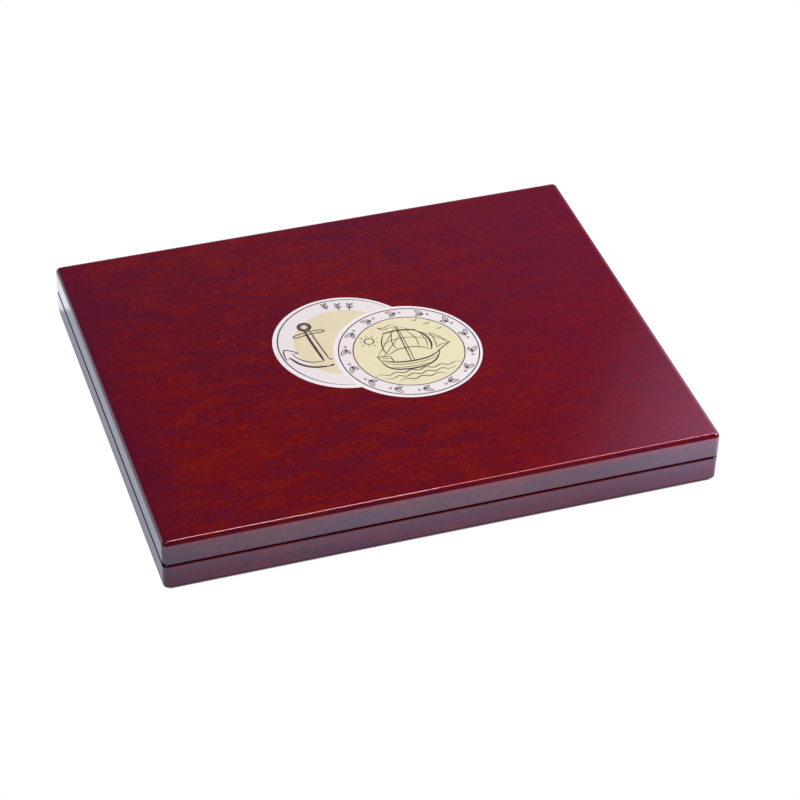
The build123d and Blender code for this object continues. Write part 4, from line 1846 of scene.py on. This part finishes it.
@dataclass
class Lining:
    """The padded satin lining of the lid on its card."""

    satin: bpy.types.Material
    card: bpy.types.Material
    edge_radius: float = 1.6
    edge_steps: int = 4
    start_drop: float = 2.6
    crown: float = 1.7
    quick_crown: float = 4.0
    quick_slope: float = 30.0
    drag: float = 0.3
    hem_reach: float = 1.92
    cell: float = 3.0
    steps: int = 24
    fill: float = 0.7

    def build(self) -> None:
        """Makes the pad, swells it and dresses the card."""
        low, high = corners("lining_pad")
        pad = self.pillow(low, high)
        self.swell(pad, high)
        dress(pad, "lid", (self.satin,), ("lining_pad",))
        repaint("lining_board", self.card)

    def pillow(self, low: Vector, high: Vector) -> bpy.types.Object:
        """The pad's shape before it is stuffed, with its hem turned over the card's edge.

        Args:
            low: The lowest corner of the room it fills.
            high: The highest corner.

        Returns:
            The pad in metres, its lower face a fine grid.
        """
        size = high - low
        inner = Vector((size.x - 2 * self.edge_radius, size.y - 2 * self.edge_radius))
        flat = high.z - self.start_drop
        cells = [round(reach / self.cell) for reach in inner]
        blank = Blank()
        bmesh.ops.create_grid(blank.bm, x_segments=cells[0], y_segments=cells[1], size=0.5)
        blank.stretch((inner.x, inner.y, 1))
        blank.shift((0, 0, flat))
        for step in range(1, self.edge_steps + 1):
            angle = math.pi / 2 * step / self.edge_steps
            reach = self.edge_radius * math.sin(angle)
            rise = self.edge_radius * (1 - math.cos(angle))
            self.widen(blank, (inner.x + 2 * reach, inner.y + 2 * reach), flat + rise)
        self.widen(blank, (size.x, size.y), high.z)
        bmesh.ops.reverse_faces(blank.bm, faces=blank.bm.faces[:])
        return blank.finished("lid_lining_pad")

    @staticmethod
    def widen(blank: Blank, size: Point, height: float) -> None:
        """Extrudes the open rim to a larger rectangle.

        Args:
            blank: The pad so far.
            size: The rectangle's width and depth.
            height: Its height.
        """
        old = Vector([max(v.co[axis] for edge in blank.open_rim() for v in edge.verts) for axis in (0, 1)])
        ring = blank.extrude_rim()
        blank.stretch((size[0] / 2 / old.x, size[1] / 2 / old.y, 1), ring)
        for v in ring:
            v.co.z = height

    def swell(self, pad: bpy.types.Object, high: Vector) -> None:
        """Stuffs the pad, keeps it inside its crown, and rounds and closes it.

        Args:
            pad: The pad.
            high: The highest corner of the room it fills.
        """
        flat = (high.z - self.start_drop) * MM
        start = [v.co.copy() for v in pad.data.vertices]
        swollen = self.stuffed(pad, start, flat, high)
        room = self.crown * MM
        for v, old, new in zip(pad.data.vertices, start, swollen):
            drop = max(0.0, old.z - new.z)
            v.co.z = old.z - room * (1 - math.exp(-drop / room))
            v.co.x = lerp(old.x, new.x, self.drag)
            v.co.y = lerp(old.y, new.y, self.drag)
        finer = pad.modifiers.new("finer", "SUBSURF")
        finer.levels = finer.render_levels = 1
        finer.boundary_smooth = "PRESERVE_CORNERS"
        settled(pad)
        blank = Blank()
        blank.bm.from_mesh(pad.data)
        blank.close()
        blank.bm.to_mesh(pad.data)
        blank.bm.free()

    def stuffed(
        self, pad: bpy.types.Object, start: Sequence[Vector], flat: float, high: Vector
    ) -> list[Vector]:
        """Runs a cloth simulation of the pad under pressure, held at its hem.

        Args:
            pad: The pad.
            start: Where its vertices are, in metres.
            flat: The height of its lower face, in metres.
            high: The highest corner of the room it fills, in millimetres.

        Returns:
            Where its vertices come to rest, in metres.
        """
        hem = pad.vertex_groups.new(name="hem")
        inside = Vector((high.x - self.hem_reach, high.y - self.hem_reach)) * MM
        for i, spot in enumerate(start):
            if spot.z > flat + NEAR * MM or abs(spot.x) > inside.x or abs(spot.y) > inside.y:
                hem.add([i], 1.0, "REPLACE")
        cloth = pad.modifiers.new("stuffing", "CLOTH")
        settings = cloth.settings
        settings.quality = 6
        settings.mass = 0.2
        settings.tension_stiffness = settings.compression_stiffness = 12
        settings.shear_stiffness = 6
        settings.bending_stiffness = 0.4
        settings.shrink_min = -0.012
        settings.use_pressure = True
        settings.uniform_pressure_force = 1.6
        settings.vertex_group_mass = "hem"
        settings.effector_weights.gravity = 0.0
        cloth.collision_settings.use_collision = False
        scene = bpy.context.scene
        for step in range(1, self.steps + 1):
            scene.frame_set(step)
        shaped = pad.evaluated_get(bpy.context.evaluated_depsgraph_get())
        swollen = [v.co.copy() for v in shaped.data.vertices]
        pad.modifiers.remove(cloth)
        scene.frame_set(1)
        return swollen


@dataclass
class Underside:
    """The felt that the case stands on, under its bare floor."""

    felt: bpy.types.Material
    board: bpy.types.Material
    corner_radius: float = 2.0
    corner_segments: int = 6
    edge_round: float = 0.3
    edge_segments: int = 3

    def build(self) -> None:
        """Makes the felt and dresses the floor."""
        low, high = corners("base_felt")
        blank = Blank.box(low, high)
        blank.round_off(blank.uprights(), self.corner_radius, self.corner_segments)
        blank.round_off(blank.edges_at(2, low.z), self.edge_round, self.edge_segments)
        sheet = dress(blank.finished("felt_foot"), "base", (self.felt,), ("base_felt",))
        repaint("base_floor", self.board)


@dataclass
class Hinges:
    """Both butt hinges with their pins and screws."""

    brass: bpy.types.Material

    def build(self) -> None:
        """Dresses the solids of the frame, whose shapes are right."""
        leaves_and_pins = [
            f"hinge_{hand}_{part}" for hand in ("left", "right") for part in ("base_leaf", "lid_leaf", "pin")
        ]
        for node in (*leaves_and_pins, "base_hinge_screws", "lid_hinge_screws"):
            repaint(node, self.brass)


# --- Studio ---


def posed(right: Vector, up: Vector, back: Vector, spot: Vector) -> Matrix:
    """The placing of a lamp or camera that stands at a spot with these axes."""
    return Matrix.Translation(spot) @ Matrix((right, up, back)).transposed().to_4x4()


@dataclass(frozen=True)
class Softbox:
    """A glowing panel that faces the case from a bearing and a height, its length turned towards X."""

    name: str
    bearing: float
    height: float
    distance: float
    size: Point
    power: float
    tint: Colour = (1.0, 1.0, 1.0)

    def build(self) -> None:
        """Makes the light."""
        light = bpy.data.lights.new(self.name, "AREA")
        light.shape = "RECTANGLE"
        light.size, light.size_y = self.size
        light.energy, light.color = self.power, self.tint
        away = direction(self.bearing, self.height)
        along = (Vector((1, 0, 0)) - away * away.x).normalized()
        lamp = in_scene(bpy.data.objects.new(self.name, light))
        lamp.matrix_world = posed(along, away.cross(along), away, away * self.distance)
        LOG.info("light %s", self.name)


@dataclass(frozen=True)
class Glow:
    """A soft round patch of light in the room above the case, full to its core and gone at its reach."""

    bearing: float
    height: float
    reach: float
    core: float
    tint: Colour


@dataclass
class Studio:
    """The pale floor, the room, the lights and the camera."""

    azimuth: float = -18.9295
    elevation: float = 38.4351
    roll: float = 1.3676
    distance: float = 1.50762
    aside: Point = (-0.013781, 0.004663)
    lens: float = 121.68
    film_width: float = 36.0
    sight: Point = (0.01, 100.0)
    stand: float = 0.0002
    floor_radius: float = 12.0
    floor_segments: int = 96
    # glow the floor sends to the case by distance from its outline, in front and at the left; darker near the
    # outline as a painted contact shade
    floor_shades: Stops = (
        (-0.5, (0.14, 0.09, 0.14)),
        (3.5, (0.95, 0.96, 1.48)),
        (26.0, (1.10, 1.82, 2.45)),
        (33.0, (2.30, 1.82, 2.45)),
        (75.0, (2.60, 1.60, 2.10)),
        (140.0, (1.10, 0.45, 0.60)),
        (220.0, (0.08, 0.04, 0.07)),
    )
    left_shades: Stops = ((-0.5, (0.56, 0.62, 0.74)), (1.0, (0.68, 0.74, 0.88)), (6.5, (0.88, 0.96, 1.14)))
    floor_left_rear: Colour = (1.90, 1.98, 2.20)
    floor_unlit: Colour = (0.10, 0.11, 0.15)
    # colour and reach of the painted contact shadow on the floor
    contact: Colour = (0.090, 0.062, 0.076)
    contact_start: Point = (0.65, 1.65)
    contact_end: Point = (21.15, 11.15)
    contact_sides: Point = (-1.5, -4.5)
    floor_level: float = 0.82
    level_rises: tuple[tuple[float, Point], ...] = ((0.18, (-160.0, 0.0)), (0.4, (80.0, 160.0)))
    left_patch: tuple[Point, Point] = ((0.0, -1.5), (-4.0, 6.0))
    left_rear_start: Point = (-4.0, 4.0)
    rear_patch: tuple[Point, Point] = ((0.0, 30.0), (3.0, 20.0))
    right_patch: tuple[Point, Point] = ((4.0, 20.0), (-5.0, 15.0))
    backdrop: Colour = (1.0, 1.0, 1.0)
    room_shades: Stops = (
        (0.49, (0.26, 0.36, 0.48)),
        (0.555, (0.050, 0.075, 0.150)),
        (0.64, (0.010, 0.012, 0.022)),
    )
    room_in_front: Colour = (0.026, 0.022, 0.040)
    front_to_rear: Point = (-0.1, 0.25)
    glows: tuple[Glow, ...] = (
        Glow(60.0, 41.0, 28.35, 22.5, (2.05, 1.14, 1.88)),
        Glow(62.0, 18.0, 22.5, 16.0, (2.5, 2.3, 2.6)),
        Glow(-42.0, 5.0, 25.0, 10.0, (1.60, 1.15, 1.60)),
    )
    lamps: tuple[Softbox, ...] = (
        Softbox("key_right", 106.0, 44.0, 1.45, (0.60, 0.50), 19.0, (0.90, 0.985, 1.0)),
        Softbox("fill_left", -125.0, 60.0, 2.2, (1.4, 1.0), 8.0, (1.0, 0.98, 1.0)),
        Softbox("edge_line_left", 28.5, 68.5, 2.355, (0.42, 0.14), 16.5, (1.0, 0.54, 0.56)),
        Softbox("edge_line_right", 43.5, 60.0, 2.393, (0.42, 0.14), 11.5, (1.0, 0.36, 0.37)),
    )

    def build(self) -> None:
        """Sets everything up."""
        self.floor()
        self.surroundings()
        for lamp in self.lamps:
            lamp.build()
        self.camera()
        bpy.context.scene.view_settings.view_transform = "Standard"

    def floor(self) -> None:
        """Lays a pale round floor, plain white to look at, that lights and mirrors with a contact shade."""
        tree = Tree("studio_floor")
        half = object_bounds()[1] / MM
        along, across, _ = tree.axes(tree.place())
        mirrored = self.floor_glow(tree, along, across, half)
        # painted contact shadow on the floor along the case's front edge, as the camera sees it
        contact_shadow_share = across.past(-half.y, self.contact_start) * across.past(-half.y, self.contact_end)
        contact_shadow_share = contact_shadow_share * along.math("ABSOLUTE").past(half.x, self.contact_sides)
        shown = tree.mix(contact_shadow_share, self.backdrop, self.contact)
        plain = tree.node("Emission", {}, {"Color": shown, "Strength": 1.0})
        seen = tree.node("LightPath", out="Is Camera Ray")
        lit = tree.node("MixShader", {}, {0: seen, 1: mirrored, 2: plain})
        clear = tree.node("BsdfTransparent")
        beneath = tree.node("NewGeometry", out="Backfacing")
        tree.close(tree.node("MixShader", {}, {0: beneath, 1: lit, 2: clear}))
        blank = Blank()
        bm = blank.bm
        bmesh.ops.create_circle(bm, cap_ends=True, radius=self.floor_radius, segments=self.floor_segments)
        blank.shift((0, 0, -self.stand))
        thing = blank.as_object("studio_ground")
        thing.data.materials.clear()
        thing.data.materials.append(tree.material)
        thing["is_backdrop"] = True

    def floor_glow(self, tree: Tree, along: Sock, across: Sock, half: Vector) -> Sock:
        """What the floor sends to the case: bright in places in front, dim behind and at the right.

        Args:
            tree: The floor's tree.
            along: The place along X.
            across: The place along Y.
            half: The case's highest corner.

        Returns:
            The glowing shader.
        """
        sides = ((along, half.x), (across, half.y))
        outside = [(axis.math("ABSOLUTE") - reach).math("MAXIMUM", 0.0) for axis, reach in sides]
        gap = (outside[0] * outside[0] + outside[1] * outside[1]) ** 0.5
        at_left = along.past(-half.x, self.left_patch[0]) * across.past(-half.y, self.left_patch[1])
        at_left_rear = at_left * across.past(half.y, self.left_rear_start)
        behind = along.past(-half.x, self.rear_patch[0]) * across.past(half.y, self.rear_patch[1])
        beside = along.past(half.x, self.right_patch[0]) * across.past(-half.y, self.right_patch[1])
        light = tree.mix(at_left, tree.shades(gap, self.floor_shades), tree.shades(gap, self.left_shades))
        light = tree.mix(at_left_rear, light, self.floor_left_rear)
        light = tree.mix(behind.math("MAXIMUM", beside), light, self.floor_unlit)
        strength: Value = self.floor_level
        for gain, span in self.level_rises:
            strength = gain * along.rise(*span) + strength
        return tree.node("Emission", {}, {"Color": light, "Strength": strength})

    def surroundings(self) -> None:
        """Surrounds the case with a dim room, soft glows and a white backdrop."""
        world = bpy.data.worlds.new("studio_room")
        world.use_nodes = True
        bpy.context.scene.world = world
        tree = Tree.of(world.node_tree)
        way = tree.node("TexCoord", out="Generated")
        _, rearward, height = tree.axes(way)
        room = tree.shades(height, self.room_shades)
        light = tree.mix(rearward.rise(*self.front_to_rear), self.room_in_front, room)
        for glow in self.glows:
            towards = tuple(direction(glow.bearing, glow.height))
            nearness = tree.node("VectorMath", {"operation": "DOT_PRODUCT"}, {0: way, 1: towards}, "Value")
            far, near = (math.cos(math.radians(angle)) for angle in (glow.reach, glow.core))
            light = tree.mix(nearness.rise(far, near), light, glow.tint)
        seen = tree.node("LightPath", out="Is Camera Ray")
        background = tree.node("Background", {}, {"Color": tree.mix(seen, light, self.backdrop)})
        tree.links.new(background.socket, tree.nodes.new("ShaderNodeOutputWorld").inputs["Surface"])

    def camera(self) -> None:
        """Places the camera from its bearing, height, roll and distance."""
        back = direction(180.0 - self.azimuth, self.elevation)
        lean = math.radians(self.roll)
        level = (-back).cross(Vector((0, 0, 1))).normalized()
        upright = level.cross(-back)
        right = level * math.cos(lean) + upright * math.sin(lean)
        up = upright * math.cos(lean) - level * math.sin(lean)
        spot = back * self.distance - right * self.aside[0] - up * self.aside[1]
        spot.z += self.stand
        lens = bpy.data.cameras.new("studio_camera")
        lens.lens, lens.sensor_width = self.lens, self.film_width
        lens.clip_start, lens.clip_end = self.sight
        seen = in_scene(bpy.data.objects.new("studio_camera", lens))
        seen.matrix_world = posed(right, up, back, spot)
        bpy.context.scene.camera = seen


def main() -> None:
    """Builds the case from its woodwork to its fittings and lights it."""
    logging.basicConfig(level=logging.INFO, format="%(name)s %(message)s")
    cad_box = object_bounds()
    box = (cad_box[0] / MM, cad_box[1] / MM)
    veneers = (LacqueredVeneer(Grain.ALONG_WIDTH).material(), LacqueredVeneer(Grain.ALONG_DEPTH).material())
    Studio().build()
    hardware, emblems = Hardware(), Emblems()
    lid, base = LidWoodwork(box, veneers), BaseWoodwork(box, veneers)
    lid.build(hardware, (emblems.front, emblems.rear))
    base.build_rails(hardware)
    emblems.build()
    nickel = NickelPlate().material()
    for woodwork in (base, lid):
        hardware.magnets(woodwork.body, woodwork.rim, nickel)
    Hinges(PolishedBrass().material()).build()
    Tray(Velour().material()).build()
    Lining(Satin().material(), GreyCard().material()).build()
    Underside(PressedFelt().material(), Fibreboard().material()).build()


if __name__ == "__main__":
    main()
